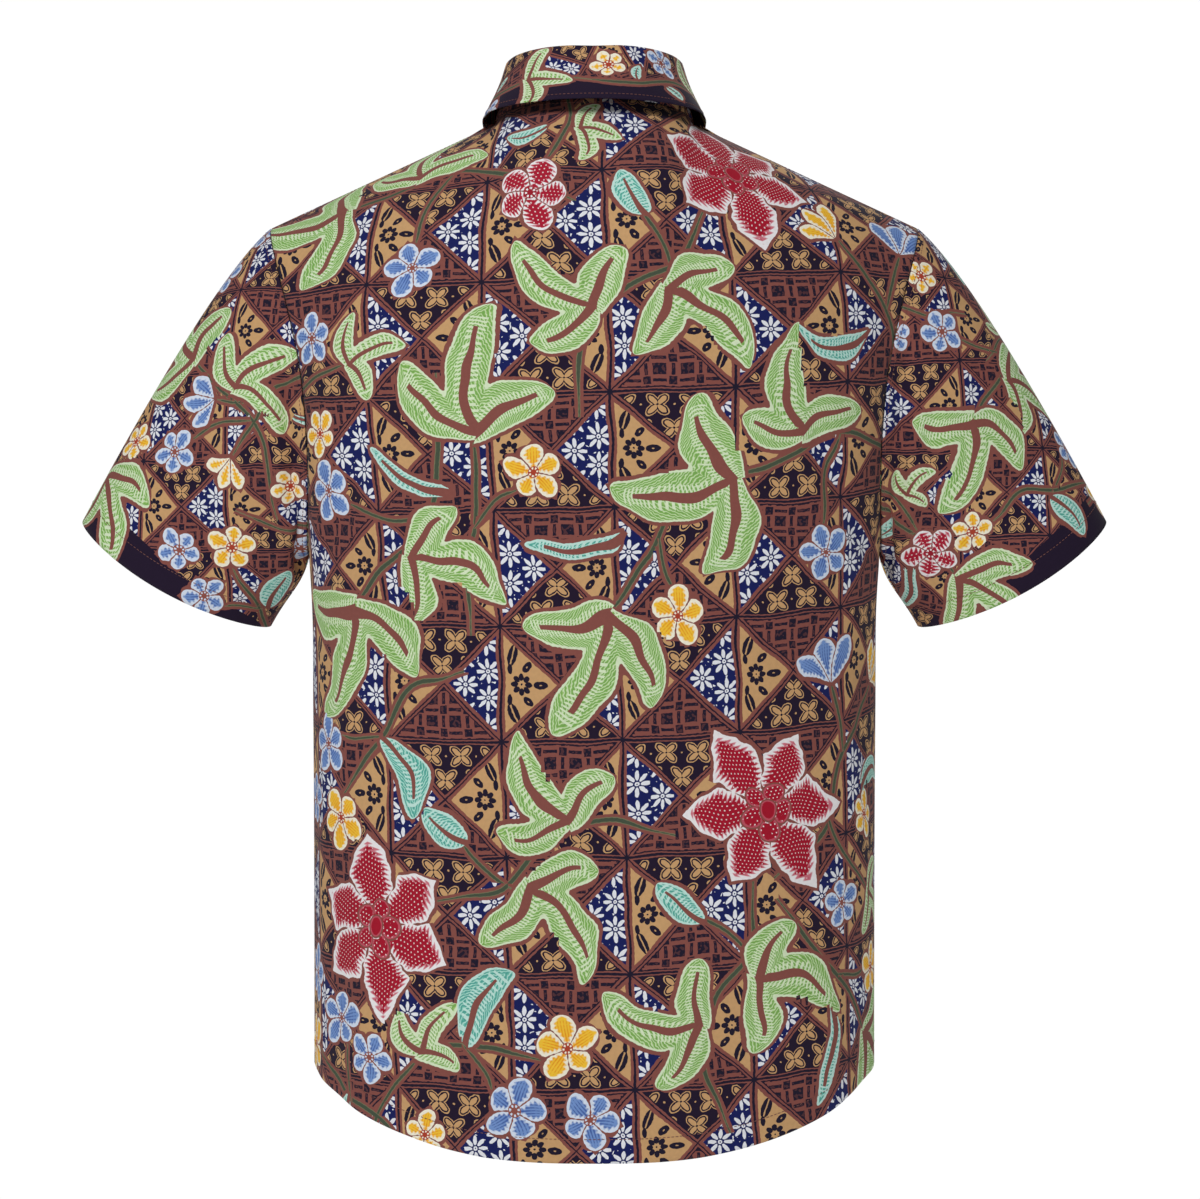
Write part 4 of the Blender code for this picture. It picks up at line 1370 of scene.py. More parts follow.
def line_inside(face, edge, inset):
    """Points and outward ways on a line that runs inside one edge of a sheet."""
    axis, way = EDGES[edge]
    strip = np.swapaxes(face, 0, axis)[::way]
    steps = np.linalg.norm(np.diff(strip[..., :3], axis=0), axis=2).cumsum(axis=0)
    line = []
    for place in range(strip.shape[1]):
        reach = np.concatenate([[0.0], steps[:, place]])
        line.append([np.interp(inset, reach, strip[:, place, part]) for part in (0, 1, 2, 5, 6, 7)])
    return np.array(line)


def sewn_places(line):
    """Evenly spaced places along a line, each with its way along and its way out."""
    reach = np.linalg.norm(np.diff(line[:, :3], axis=0), axis=1).cumsum()
    reach = np.concatenate([[0.0], reach])
    middles = (np.arange(int(reach[-1] / STITCH_PITCH)) + 0.5) * STITCH_PITCH
    here = np.stack([np.interp(middles, reach, line[:, part]) for part in range(6)], axis=1)
    start, end = middles - STITCH_LENGTH / 2, middles + STITCH_LENGTH / 2
    first = np.stack([np.interp(start, reach, line[:, part]) for part in range(3)], axis=1)
    last = np.stack([np.interp(end, reach, line[:, part]) for part in range(3)], axis=1)
    return here[:, :3], unit(last - first), unit(here[:, 3:])


def stitch_mesh(name, middles, alongs, outs):
    """One mesh of many stitches, each of eight corners."""
    half = STITCH_LENGTH / 2
    side = STITCH_BREADTH / 2
    shape = [(-half, 0.0, -STITCH_DIP), (half, 0.0, -STITCH_DIP)]
    for far in (-half * STITCH_SHOULDER, half * STITCH_SHOULDER):
        shape += [(far, -side, 0.0), (far, 0.0, STITCH_RISE), (far, side, 0.0)]
    shape = np.array(shape)
    faces = [(0, 2, 3), (0, 3, 4), (0, 4, 2), (1, 6, 5), (1, 7, 6), (1, 5, 7)]
    faces += [(5, 6, 3, 2), (6, 7, 4, 3), (7, 5, 2, 4)]
    points = []
    for middle, along, out in zip(middles, alongs, outs):
        frame_of = np.stack([along, np.cross(out, along), out])
        points.append(middle + out * STITCH_LIFT + shape @ frame_of)
    all_faces = []
    for step in range(len(points)):
        all_faces += [tuple(corner + len(shape) * step for corner in face) for face in faces]
    mesh = bpy.data.meshes.new(name)
    mesh.from_pydata(np.concatenate(points).tolist(), [], all_faces)
    mesh.materials.append(thread_material)
    mesh.shade_smooth()
    return mesh


def add_stitches(name, lines, slot):
    """Rows of machine stitches as one piece."""
    rows = [sewn_places(line) for line in lines]
    mesh = stitch_mesh(name, *[np.concatenate(part) for part in zip(*rows)])
    stitches = add_object(name, mesh)
    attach(stitches, "root")
    return stitches


def declare_cloth(sheet, rests_on):
    """Works out the width, length and area of a piece as it was cut. What it rests on is not used.
    """
    width, height, area = cut_size(sheet)


# The panel's sprays in the order that they are set down, the large ones first, and
# the seed of their layout.
BACK_SPRAYS = (
    "star", "leaves", "star", "leaves", "star",
    "leaves", "drooping", "buds", "drooping", "blossoms",
    "drooping", "buds", "blossoms", "blossoms", "rosette",
    "small_leaves", "small_leaves", "small_leaves",
)
BACK_SEED = 0

back_left = body_half(1, BACK_FOLDS_LEFT)
back_right = body_half(1, BACK_FOLDS_RIGHT)
back_grid = np.concatenate([mirror(back_right), back_left[:, 1:]], axis=1)[:, ::-1]
BACK_CENTRE = back_grid.shape[1] // 2
back_fine = finer(level_cut(back_grid, BACK_CENTRE), MEASURED_ROW, 8)
back_face = creased(back_fine, BACK_CREASES)
back_sheet = hemmed(
    back_face,
    (("first", SEAM_MARGIN), ("last", SEAM_MARGIN), ("top", TOP_MARGIN), ("bottom", HEM)),
)
back_drawn = grown(laid_out(BACK_SPRAYS, back_face, BACK_SEED))
back = add_cloth("back_panel", back_sheet, *back_drawn)
back_stitches = add_stitches(
    "stitches_back",
    (line_inside(back_face, "bottom", HEM_STITCH), line_inside(back_face, "top", SEAM_STITCH)),
    "back_cloth",
)
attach(back, "root")
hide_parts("back")
declare_cloth(back_sheet, "collar_stand_band")

# ---------------------------------------------------------------------------
# Fronts
# Two cotton panels, the left lapped over the right at the centre. Each centre
# edge is folded back as a facing, where the buttons and buttonholes are.
# ---------------------------------------------------------------------------

# How far a front goes past the centre line, the width over which the left one
# comes up off the right one and by how much, and the width of the facing.
LAP = 0.0175
LAP_BLEND = 0.030
LAYER_STEP = 0.0022
FACING = 0.030
FRONT_FOLDS_LEFT = (
    Fold(0.195, -0.80, -0.40, 0.021, -0.0034, 0.014),
    Fold(0.235, -0.47, -0.29, 0.018, -0.0030, 0.018),
    Fold(0.110, -0.82, -0.52, 0.026, -0.0022, -0.008),
)
FRONT_FOLDS_RIGHT = (
    Fold(0.210, -0.80, -0.45, 0.020, -0.0036, 0.012),
    Fold(0.237, -0.50, -0.30, 0.018, -0.0026, 0.018),
    Fold(0.125, -0.81, -0.49, 0.028, -0.0020, 0.010),
)
FRONT_LEFT_CREASES = (
    Crease(0.172, -0.268, 121, 0.120, 0.0085, 0.0030),
    Crease(0.204, -0.306, 138, 0.100, 0.0070, 0.0026),
    Crease(0.150, -0.330, 115, 0.085, 0.0075, -0.0015),
    Crease(0.210, -0.430, 95, 0.160, 0.0105, 0.0019),
    Crease(0.060, -0.110, 62, 0.100, 0.0090, 0.0012),
    Crease(0.030, -0.270, 12, 0.060, 0.0070, 0.0010),
    Crease(0.034, -0.455, 172, 0.070, 0.0080, 0.0010),
    Crease(0.100, -0.640, 88, 0.160, 0.0160, 0.0012),
)
FRONT_RIGHT_CREASES = (
    Crease(-0.168, -0.262, 60, 0.128, 0.0080, 0.0029),
    Crease(-0.202, -0.300, 43, 0.108, 0.0072, 0.0027),
    Crease(-0.146, -0.322, 66, 0.080, 0.0070, -0.0015),
    Crease(-0.212, -0.452, 84, 0.175, 0.0110, 0.0018),
    Crease(-0.064, -0.116, 118, 0.095, 0.0090, 0.0012),
    Crease(-0.036, -0.360, 166, 0.065, 0.0075, 0.0010),
    Crease(-0.110, -0.635, 93, 0.150, 0.0160, 0.0011),
)
FRONT_LEFT_SPRAYS = (
    "star", "leaves", "leaves", "star", "drooping",
    "buds", "blossoms", "blossoms", "rosette", "small_leaves",
)
FRONT_RIGHT_SPRAYS = (
    "star", "leaves", "leaves", "drooping", "drooping",
    "buds", "blossoms", "blossoms", "rosette", "small_leaves",
    "small_leaves",
)
FRONT_LEFT_SEED = 0
FRONT_RIGHT_SEED = 4


def add_lap(grid):
    """Carries a front past the centre line, as the mirror image of its other side."""
    lap = []
    for row in grid:
        y, z = (np.interp(LAP, row[:, 0], row[:, part]) for part in (1, 2))
        lap.append([-LAP, y, z])
    return np.concatenate([np.array(lap)[:, None], grid], axis=1)


def lap_offset(x):
    """How far the left front and collar stand off the right ones, by place across."""
    return LAYER_STEP * smooth_step((LAP + LAP_BLEND - x) / LAP_BLEND)


front_left_grid = add_lap(body_half(-1, FRONT_FOLDS_LEFT))
front_left_grid += surface_normals(front_left_grid) * lap_offset(front_left_grid[:, :, :1])
front_right_grid = mirror(add_lap(body_half(-1, FRONT_FOLDS_RIGHT)))
front_left_fine = finer(level_cut(front_left_grid, 1), MEASURED_ROW, 6)
front_right_fine = finer(level_cut(front_right_grid, -2), MEASURED_ROW, -7)
front_left_face = creased(front_left_fine, FRONT_LEFT_CREASES)
front_right_face = creased(front_right_fine, FRONT_RIGHT_CREASES)
front_left_sheet = hemmed(
    front_left_face,
    (("last", SEAM_MARGIN), ("top", TOP_MARGIN), ("first", FACING), ("bottom", HEM)),
)
front_right_sheet = hemmed(
    front_right_face,
    (("first", SEAM_MARGIN), ("top", TOP_MARGIN), ("last", FACING), ("bottom", HEM)),
)
left_drawn = grown(laid_out(FRONT_LEFT_SPRAYS, front_left_face, FRONT_LEFT_SEED))
front_left = add_cloth("front_left_panel", front_left_sheet, *left_drawn)
right_drawn = grown(laid_out(FRONT_RIGHT_SPRAYS, front_right_face, FRONT_RIGHT_SEED))
front_right = add_cloth("front_right_panel", front_right_sheet, *right_drawn)
fronts = (
    ("left", front_left, front_left_sheet, front_left_face, "first"),
    ("right", front_right, front_right_sheet, front_right_face, "last"),
)
for side, panel, sheet, face, centre_edge in fronts:
    stitches = add_stitches(
        "stitches_front_" + side,
        (
            line_inside(face, "bottom", HEM_STITCH),
            line_inside(face, centre_edge, SEAM_STITCH),
            line_inside(face, centre_edge, FACING - SEAM_STITCH),
        ),
        "front_" + side + "_cloth",
    )
    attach(panel, "root")
    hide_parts("front_" + side)
    "front_" + side + "_cloth"
    declare_cloth(sheet, "collar_stand_band")

# ---------------------------------------------------------------------------
# Sleeves
# Two short set in sleeves, each one piece of cotton sewn along its underarm.
# The open end is turned up twice, and its outer part lies on the dark border.
# ---------------------------------------------------------------------------

# The way the sleeve runs, its open end, and how the cloth leaves the armhole.
SLEEVE_SWING = 0.17
SLEEVE_DROP = math.radians(60.5)
CUFF_CENTRE = (0.3057, -0.026, -0.3322)
CUFF_HALF_WIDTH = 0.0789
CUFF_HALF_DEPTH = 0.0460
CUFF_BOW = 0.0070
CUFF_BOW_ROUNDING = 2.2
CAP_DROP = math.radians(40)
UNDERARM_DROP = math.radians(74)
CAP_HANDLE = 0.16
UNDERARM_HANDLE = 0.36
CUFF_HANDLE = 0.46
ARMHOLE_GAP = 0.0003
ARMHOLE_STEP_OUT = 0.0006

# Its rows, the fewer rows and columns that are laid flat for its cut, its border,
# and the share of their full size that its sprays are drawn at.
SLEEVE_ROWS = 72
SLEEVE_CUT_ROWS = 9
SLEEVE_CUT_COLUMNS = 27
BORDER_HEIGHT = 0.027
BORDER_REACH = 0.97
SLEEVE_SHARE = 0.76
SLEEVE_HELD_EDGE = 0.006

SLEEVE_PATCHES = {
    "left": Patchwork(0.010, 0.000, 0.066, 0.062, 30),
    "right": Patchwork(-0.010, 0.010, 0.066, 0.062, -30),
}

SLEEVE_LEFT_CREASES = (
    Crease(0.181, -0.184, 125, 0.080, 0.0075, 0.0095),
    Crease(0.153, -0.146, 126, 0.088, 0.0082, 0.0110),
    Crease(0.126, -0.107, 127, 0.080, 0.0072, 0.0088),
    Crease(0.105, -0.078, 133, 0.060, 0.0065, 0.0050),
    Crease(-0.121, -0.117, 236, 0.100, 0.0078, 0.0070),
    Crease(0.150, -0.176, 146, 0.110, 0.0075, 0.0026),
    Crease(0.128, -0.212, 158, 0.100, 0.0070, 0.0020),
    Crease(0.116, -0.130, 118, 0.090, 0.0080, 0.0021),
    Crease(0.060, -0.120, 100, 0.110, 0.0100, 0.0012),
    Crease(0.140, -0.228, 165, 0.050, 0.0065, -0.0011),
    Crease(-0.152, -0.180, 35, 0.104, 0.0078, 0.0025),
    Crease(-0.124, -0.208, 22, 0.092, 0.0070, 0.0019),
    Crease(-0.104, -0.128, 60, 0.084, 0.0085, 0.0018),
    Crease(-0.052, -0.130, 82, 0.100, 0.0100, 0.0011),
)
SLEEVE_RIGHT_CREASES = (
    Crease(-0.179, -0.182, 235, 0.086, 0.0078, 0.0100),
    Crease(-0.150, -0.143, 234, 0.080, 0.0076, 0.0105),
    Crease(-0.124, -0.105, 233, 0.074, 0.0070, 0.0082),
    Crease(-0.103, -0.076, 227, 0.064, 0.0066, 0.0054),
    Crease(0.122, -0.118, 124, 0.096, 0.0076, 0.0068),
    Crease(-0.154, -0.178, 33, 0.106, 0.0076, 0.0027),
    Crease(-0.130, -0.214, 21, 0.094, 0.0070, 0.0021),
    Crease(-0.112, -0.126, 61, 0.094, 0.0082, 0.0020),
    Crease(-0.064, -0.124, 80, 0.104, 0.0100, 0.0012),
    Crease(-0.142, -0.230, 16, 0.046, 0.0065, -0.0011),
    Crease(0.148, -0.182, 147, 0.100, 0.0078, 0.0025),
    Crease(0.120, -0.210, 159, 0.086, 0.0070, 0.0018),
    Crease(0.100, -0.124, 120, 0.080, 0.0085, 0.0018),
)
SLEEVE_SPRAYS = (
    "leaves", "leaves", "blossoms", "drooping", "blossoms",
    "buds", "rosette", "rosette", "small_leaves", "small_leaves",
)


def armhole_loop(back_edge, front_edge):
    """The armhole's edge, from the underarm up the back and down the front to it."""
    under = (back_edge[:1] + front_edge[:1]) / 2
    tip = (back_edge[-1:] + front_edge[-1:]) / 2
    return np.concatenate([under, back_edge[1:-1], tip, front_edge[1:-1][::-1], under])


def loop_turns(loop):
    """A half turn for the loop's way up the back and one for its way down."""
    tip = np.argmax(loop[:, 2])
    reach = np.concatenate([[0], np.linalg.norm(np.diff(loop, axis=0), axis=1).cumsum()])
    up = reach / reach[tip]
    down = 1 + (reach - reach[tip]) / (reach[-1] - reach[tip])
    return np.where(np.arange(len(loop)) <= tip, up, down) * math.pi


def cuff_loop(turns):
    """The sleeve's open end: an ellipse square to the sleeve's line."""
    line = unit(np.array([math.cos(SLEEVE_DROP), -SLEEVE_SWING, -math.sin(SLEEVE_DROP)]))
    broad = np.array([math.sin(SLEEVE_DROP), 0.0, math.cos(SLEEVE_DROP)])
    deep = unit(np.cross(broad, line))
    out = -np.cos(turns)[:, None] * CUFF_HALF_WIDTH
    back = np.sin(turns)[:, None] * CUFF_HALF_DEPTH
    bow = np.abs(np.sin(turns))[:, None] ** CUFF_BOW_ROUNDING * CUFF_BOW
    return np.array(CUFF_CENTRE) + broad * out + deep * back + line * bow, line


def sleeve_grid(hole, row_count):
    """Rows of points from the +X armhole to the open end."""
    turns = loop_turns(hole)
    cuff, line = cuff_loop(turns)
    cap = np.array([math.cos(CAP_DROP), 0.0, -math.sin(CAP_DROP)])
    under = np.array([math.cos(UNDERARM_DROP), 0.0, -math.sin(UNDERARM_DROP)])
    height = ((1 - np.cos(turns)) / 2)[:, None]
    leaving = unit(cap * height + under * (1 - height))
    start = hole + leaving * ARMHOLE_GAP
    start[:, 0] += ARMHOLE_STEP_OUT
    length = np.linalg.norm(cuff - start, axis=1, keepdims=True)
    first = start + leaving * length * (CAP_HANDLE * height + UNDERARM_HANDLE * (1 - height))
    second = cuff - line * length * CUFF_HANDLE
    steps = np.arange(row_count + 1) / row_count
    return np.array([bezier(start, first, second, cuff, step) for step in steps])


def armhole_edge(sheet, column):
    """The part of a panel's side edge that the sleeve is sewn to."""
    edge = sheet[:, column, :3]
    return edge[np.abs(edge[:, 2] - UNDERARM).argmin() :]


def sleeve_sheet(back_edge, front_edge):
    """A fine sleeve, with its cut: its underarm seam is the cut's two sides."""
    hole = armhole_loop(back_edge, front_edge)
    few = hole[np.linspace(0, len(hole) - 1, SLEEVE_CUT_COLUMNS).round().astype(int)]
    grid = sleeve_grid(few, SLEEVE_CUT_ROWS)
    line = cuff_loop(loop_turns(few))[1]
    down = grid @ line
    steps = np.diff(grid, axis=1)
    round_it = np.sqrt((steps**2).sum(axis=2) - (steps @ line) ** 2).cumsum(axis=1)
    round_it = np.concatenate([np.zeros((len(grid), 1)), round_it], axis=1)
    mid = SLEEVE_CUT_COLUMNS // 2
    first_guess = np.stack([round_it - round_it[:, mid : mid + 1], down[0, mid] - down], axis=2)
    coarse = lay_flat(grid, mid, first_guess)
    rows = np.linspace(0, SLEEVE_CUT_ROWS, SLEEVE_ROWS + 1)
    columns = np.interp(loop_turns(hole), loop_turns(few), np.arange(SLEEVE_CUT_COLUMNS))
    cut = between_rows(between_rows(coarse[..., 3:], rows).transpose(1, 0, 2), columns)
    cut = cut.transpose(1, 0, 2) * np.array([-1.0, 1.0])
    return np.concatenate([sleeve_grid(hole, SLEEVE_ROWS), cut], axis=2)


def turned_over(sheet):
    """The same sheet on the -X side, with its cut turned over too."""
    return (sheet * np.array([-1.0, 1.0, 1.0, -1.0, 1.0]))[:, ::-1]


def to_last_row(sheet):
    """How far each point is from its column's end."""
    steps = np.linalg.norm(np.diff(sheet[..., :3], axis=0), axis=2)
    return np.concatenate([steps[::-1].cumsum(axis=0)[::-1], np.zeros((1, sheet.shape[1]))])


def sleeve_border(sheet):
    """How far each point is inside the dark border along the open end."""
    outer = np.abs(np.linspace(-1, 1, sheet.shape[1]))
    return BORDER_HEIGHT * (1 - (outer / BORDER_REACH) ** 3) - to_last_row(sheet)


sleeve_left_fine = sleeve_sheet(armhole_edge(back_fine, 0), armhole_edge(front_left_fine, -1))
flip = np.array([-1.0, 1.0, 1.0])
sleeve_right_fine = turned_over(
    sleeve_sheet(armhole_edge(back_fine, -1) * flip, armhole_edge(front_right_fine, 0) * flip)
)
# Each sleeve's side, its sheet, its creases and the seed of its layout.
sleeves = (
    ("left", sleeve_left_fine, SLEEVE_LEFT_CREASES, 2),
    ("right", sleeve_right_fine, SLEEVE_RIGHT_CREASES, 1),
)
for side, fine, creases, seed in sleeves:
    border = sleeve_border(fine)[..., None]
    face = creased(fine, creases, SLEEVE_HELD_EDGE)
    sheet = hemmed(
        np.concatenate([face, border], axis=2),
        (("first", SEAM_MARGIN), ("last", SEAM_MARGIN), ("bottom", SEAM_MARGIN), ("top", HEM)),
    )
    patches = SLEEVE_PATCHES[side]
    name = "sleeve_" + side + "_panel"
    drawn = grown(laid_out(SLEEVE_SPRAYS, fine, seed, SLEEVE_SHARE), SLEEVE_SHARE)
    sleeve = add_cloth(name, sheet[..., :8], *drawn, patches, sheet[..., 8])
    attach(sleeve, "root")
    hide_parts("sleeve_" + side)
    "sleeve_" + side + "_cloth"
    cuff_stitches = add_stitches(
        "stitches_sleeve_" + side,
        (line_inside(face, "top", HEM_STITCH), line_inside(face, "bottom", SEAM_STITCH)),
        "sleeve_" + side + "_cloth",
    )
    declare_cloth(sheet, "front_" + side + "_panel")

# ---------------------------------------------------------------------------
# Collar stand
# The band round the neck, of two layers with a stiff one between. Its left end
# laps over its right end, where one button closes it.
# ---------------------------------------------------------------------------

# The stand's upper edge is narrower than the neckline, and drawn in at the front
# and at the back.
SEAM_GAP = 0.0003
STAND_TOP_HALF_WIDTH = 0.0615
STAND_LEAN = 0.009
STAND_SPACING = 0.0025
STAND_MARGIN = 0.006
STAND_STITCH = 0.0035
COLLAR_TURN_DEPTH = 0.0010
STAND_PATCHES = Patchwork(0.020, 0.012, 0.060, 0.060, 12)

# The stand's height, by the turn in degrees from the front to the back of the neck.
StandHeight = namedtuple("StandHeight", "turn height")
STAND_HEIGHTS = (
    StandHeight(0, 0.0280),
    StandHeight(45, 0.0325),
    StandHeight(90, 0.0385),
    StandHeight(135, 0.0370),
    StandHeight(180, 0.0345),
)


def neck_edge():
    """The panels' neckline points and their turns, from the left end over the back
    to the right end."""
    count = NECK_COLUMNS + 2
    left = front_left_grid[-1, :count]
    right = front_right_grid[-1, -count:]
    behind = back_grid[-1, BACK_CENTRE - NECK_COLUMNS : BACK_CENTRE + NECK_COLUMNS + 1]
    left_point = (left[-1:] + behind[:1]) / 2
    right_point = (right[:1] + behind[-1:]) / 2
    points = np.concatenate([left[:-1], left_point, behind[1:-1], right_point, right[1:]])
    lap = math.asin(LAP / NECK_HALF_WIDTH)
    round_neck = np.arange(4 * NECK_COLUMNS + 1) * (math.pi / 2 / NECK_COLUMNS)
    return points, np.concatenate([[-lap], round_neck, [2 * math.pi + lap]])


def stand_top(base, turn):
    """The stand's upper edge above a point of the neckline."""
    from_front = math.degrees(math.acos(math.cos(turn)))
    height = read_table(STAND_HEIGHTS, "turn", "height", from_front)
    narrower = STAND_TOP_HALF_WIDTH / NECK_HALF_WIDTH
    return base * np.array([narrower, 1, 1]) + np.array([0, STAND_LEAN * math.cos(turn), height])


neck_seam, stand_turns = neck_edge()
stand_edge = np.array([stand_top(point, turn) for point, turn in zip(neck_seam, stand_turns)])
stand_base = neck_seam + unit(stand_edge - neck_seam) * SEAM_GAP
stand_grid = np.array([stand_base, (stand_base + stand_edge) / 2, stand_edge])
BAND_CENTRE = len(stand_turns) // 2
stand_cut = lay_flat(stand_grid, BAND_CENTRE, unrolled(stand_grid, BAND_CENTRE, 1))
stand_fine = finer(stand_cut, 0, 4, STAND_SPACING)
stand_face = creased(stand_fine, ())
stand_margins = [(edge, STAND_MARGIN) for edge in ("first", "last", "top", "bottom")]
stand_sheet = hemmed(stand_face, stand_margins, COLLAR_TURN_DEPTH)
stand = add_cloth("collar_stand_band", stand_sheet, (), (), STAND_PATCHES)
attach(stand, "root")
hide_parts("collar_stand")
stand_stitches = add_stitches(
    "stitches_collar_stand",
    [line_inside(stand_face, edge, STAND_STITCH) for edge in ("bottom", "top")],
    "collar_stand_cloth",
)
declare_cloth(stand_sheet, "back_panel")

# ---------------------------------------------------------------------------
# Collar fall
# The turned down part of the collar: two layers of cotton round a stiff one,
# sewn inside out, turned and top stitched. Its edge is cut on the dark border.
# ---------------------------------------------------------------------------

# How thick the stand and the fall are, the fold over the stand's edge, how clear
# the fall keeps of the body, and how far from the centre front it ends.
WALL = 0.0012
COLLAR_WALL = 0.0015
FOLD_LEG = 0.0012
FOLD_RADIUS = 0.0024
FOLD_ROWS = 4
FALL_ROWS = 4
FALL_CLEARANCE = 0.0022
FALL_ENDS = math.radians(4)
FALL_HANDLE = 0.35
FALL_SPACING = 0.0022
FALL_MARGIN = 0.003
COLLAR_BORDER = 0.0200
COLLAR_PATCHES = Patchwork(0.015, 0.010, 0.058, 0.056, 24)

# The turned down collar's outer edge, by the same turn.
FallEdge = namedtuple("FallEdge", "turn x y z")
FALL_EDGE = (
    FallEdge(4, 0.0400, -0.1010, -0.0985),
    FallEdge(30, 0.0560, -0.0890, -0.0700),
    FallEdge(62, 0.0730, -0.0560, -0.0330),
    FallEdge(92, 0.0805, -0.0120, -0.0080),
    FallEdge(122, 0.0740, 0.0390, -0.0030),
    FallEdge(152, 0.0400, 0.0720, -0.0005),
    FallEdge(180, 0.0000, 0.0810, 0.0000),
)
SPRAYS["collar"] = Spray(
    (
        Motif("leaf", 0.046, -0.002, 12, 0.036),
        Motif("teal_leaf", 0.012, -0.004, -60, 0.014),
        Motif("teal_leaf", -0.010, 0.002, 70, 0.014),
        Motif("blue", 0.016, 0.020, 10, 0.013),
        Motif("gold", -0.028, 0.016, 40, 0.012),
    ),
    (Stem(0.0030, ((-0.040, 0.002), (-0.010, -0.004), (0.020, 0.003), (0.046, -0.002))),),
)
COLLAR_SPRAYS = (
    Place("rosette", -0.213, -0.046, 350, 1),
    Place("collar", -0.092, -0.040, 4, -1),
    Place("collar", 0.038, -0.038, 2, 1),
    Place("rosette", 0.164, -0.046, 12, 1),
)


def fall_section(turn):
    """The turned down collar at one turn: up from the stand, over and down."""
    base = np.array([np.interp(turn, stand_turns, stand_grid[0, :, axis]) for axis in range(3)])
    top = np.array([np.interp(turn, stand_turns, stand_grid[-1, :, axis]) for axis in range(3)])
    rise = unit(top - base)
    out = unit(np.array([math.sin(turn), -math.cos(turn), 0.0]))
    over_lap = lap_offset(abs(top[0])) if turn > math.pi else 0.0
    points = [top - out * WALL + rise * SEAM_GAP]
    centre = top + rise * (SEAM_GAP + FOLD_LEG) + out * (FOLD_RADIUS - WALL)
    for step in range(FOLD_ROWS + 1):
        angle = math.pi * step / FOLD_ROWS
        point = centre + (rise * math.sin(angle) - out * math.cos(angle)) * FOLD_RADIUS
        points.append(point + out * over_lap * step / FOLD_ROWS)
    from_front = math.degrees(math.acos(math.cos(turn)))
    edge = np.array([read_table(FALL_EDGE, "turn", name, from_front) for name in "xyz"])
    edge[0] *= math.copysign(1.0, math.sin(turn))
    start = points[-1]
    reach = np.linalg.norm(edge - start) * FALL_HANDLE
    leaving = start - rise * reach
    arriving = edge + unit(start - edge) * reach
    for step in range(1, FALL_ROWS + 1):
        points.append(bezier(start, leaving, arriving, edge, step / FALL_ROWS))
    return points


def surface_tree(*grids):
    """A searchable copy of some grids' surfaces."""
    points = []
    faces = []
    for grid in grids:
        faces.extend((grid_faces(grid) + len(points)).tolist())
        points.extend(grid[..., :3].reshape(-1, 3).tolist())
    return BVHTree.FromPolygons(points, faces)


def shortfall(point, surface, clearance):
    """How far, and which way, a point has to move to be clear of a surface."""
    place = Vector(point)
    nearest, normal, _, _ = surface.find_nearest(place)
    height = (place - nearest).dot(normal)
    return np.array(normal) * max(clearance - height, 0.0)


def lift_clear(row, surface, clearance):
    """Moves a row's points out, until the row and its edges clear a surface."""
    row = row.copy()
    for _ in range(4):
        for here in range(len(row) - 1):
            move = shortfall((row[here] + row[here + 1]) / 2, surface, clearance)
            row[here] += move
            row[here + 1] += move
        for here in range(len(row)):
            row[here] += shortfall(row[here], surface, clearance)
    return row


fall_turns = np.concatenate([[FALL_ENDS], stand_turns[2:-2], [2 * math.pi - FALL_ENDS]])
fall_grid = np.array([fall_section(turn) for turn in fall_turns]).transpose(1, 0, 2)
body_surface = surface_tree(back_grid, front_left_grid, front_right_grid)
for row in range(FOLD_ROWS + 3, len(fall_grid)):
    fall_grid[row] = lift_clear(fall_grid[row], body_surface, COLLAR_WALL + FALL_CLEARANCE)
turned_grid = fall_grid[:, ::-1]
fall_flat = unrolled(turned_grid, len(fall_turns) // 2, -1)
fall_flat[..., 0] = fall_flat[..., 0].mean(axis=0)
fall_cut = np.concatenate([turned_grid, fall_flat], axis=2)
fall_cut[..., 3] *= -1.0
fall_fine = finer(fall_cut, -1, 8, FALL_SPACING)
fall_face = creased(fall_fine, ())
fall_border = COLLAR_BORDER - to_last_row(fall_fine)[..., None]
fall_sheet = hemmed(
    np.concatenate([fall_face, fall_border], axis=2),
    [(edge, FALL_MARGIN) for edge in ("first", "last", "top")],
    COLLAR_TURN_DEPTH,
)
fall = add_cloth(
    "collar_fall_panel",
    fall_sheet[..., :8],
    *grown(COLLAR_SPRAYS),
    COLLAR_PATCHES,
    fall_sheet[..., 8],
)
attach(fall, "root")
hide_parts("collar_fall")
fall_stitches = add_stitches(
    "stitches_collar_fall",
    [line_inside(fall_face, edge, SEAM_STITCH) for edge in ("top", "first", "last")],
    "collar_fall_cloth",
)
declare_cloth(fall_sheet, "collar_stand_band")

# ---------------------------------------------------------------------------
# Buttons and buttonholes
# Seven four-holed buttons of dark polished shell, sewn through with thread: six
# down the left front and one on the stand. Each closes through a bound slit.
# ---------------------------------------------------------------------------

# The buttons, the threads over them, and the slits with their stitches.
BUTTON_NAMES = [f"button_{number}" for number in range(1, 7)] + ["button_collar"]
HOLE_OFFSET = 0.00100
THREAD_RADIUS = 0.00032
THREAD_ROUNDING = 0.00016
THREAD_HEIGHT = 0.00062
THREAD_BOW = 0.00015
THREAD_BOW_RADIUS = 0.0025
SLIT_LENGTH = 0.0135
SLIT_BREADTH = 0.0022
SLIT_STITCHES = 26
SLIT_SQUARENESS = 0.15

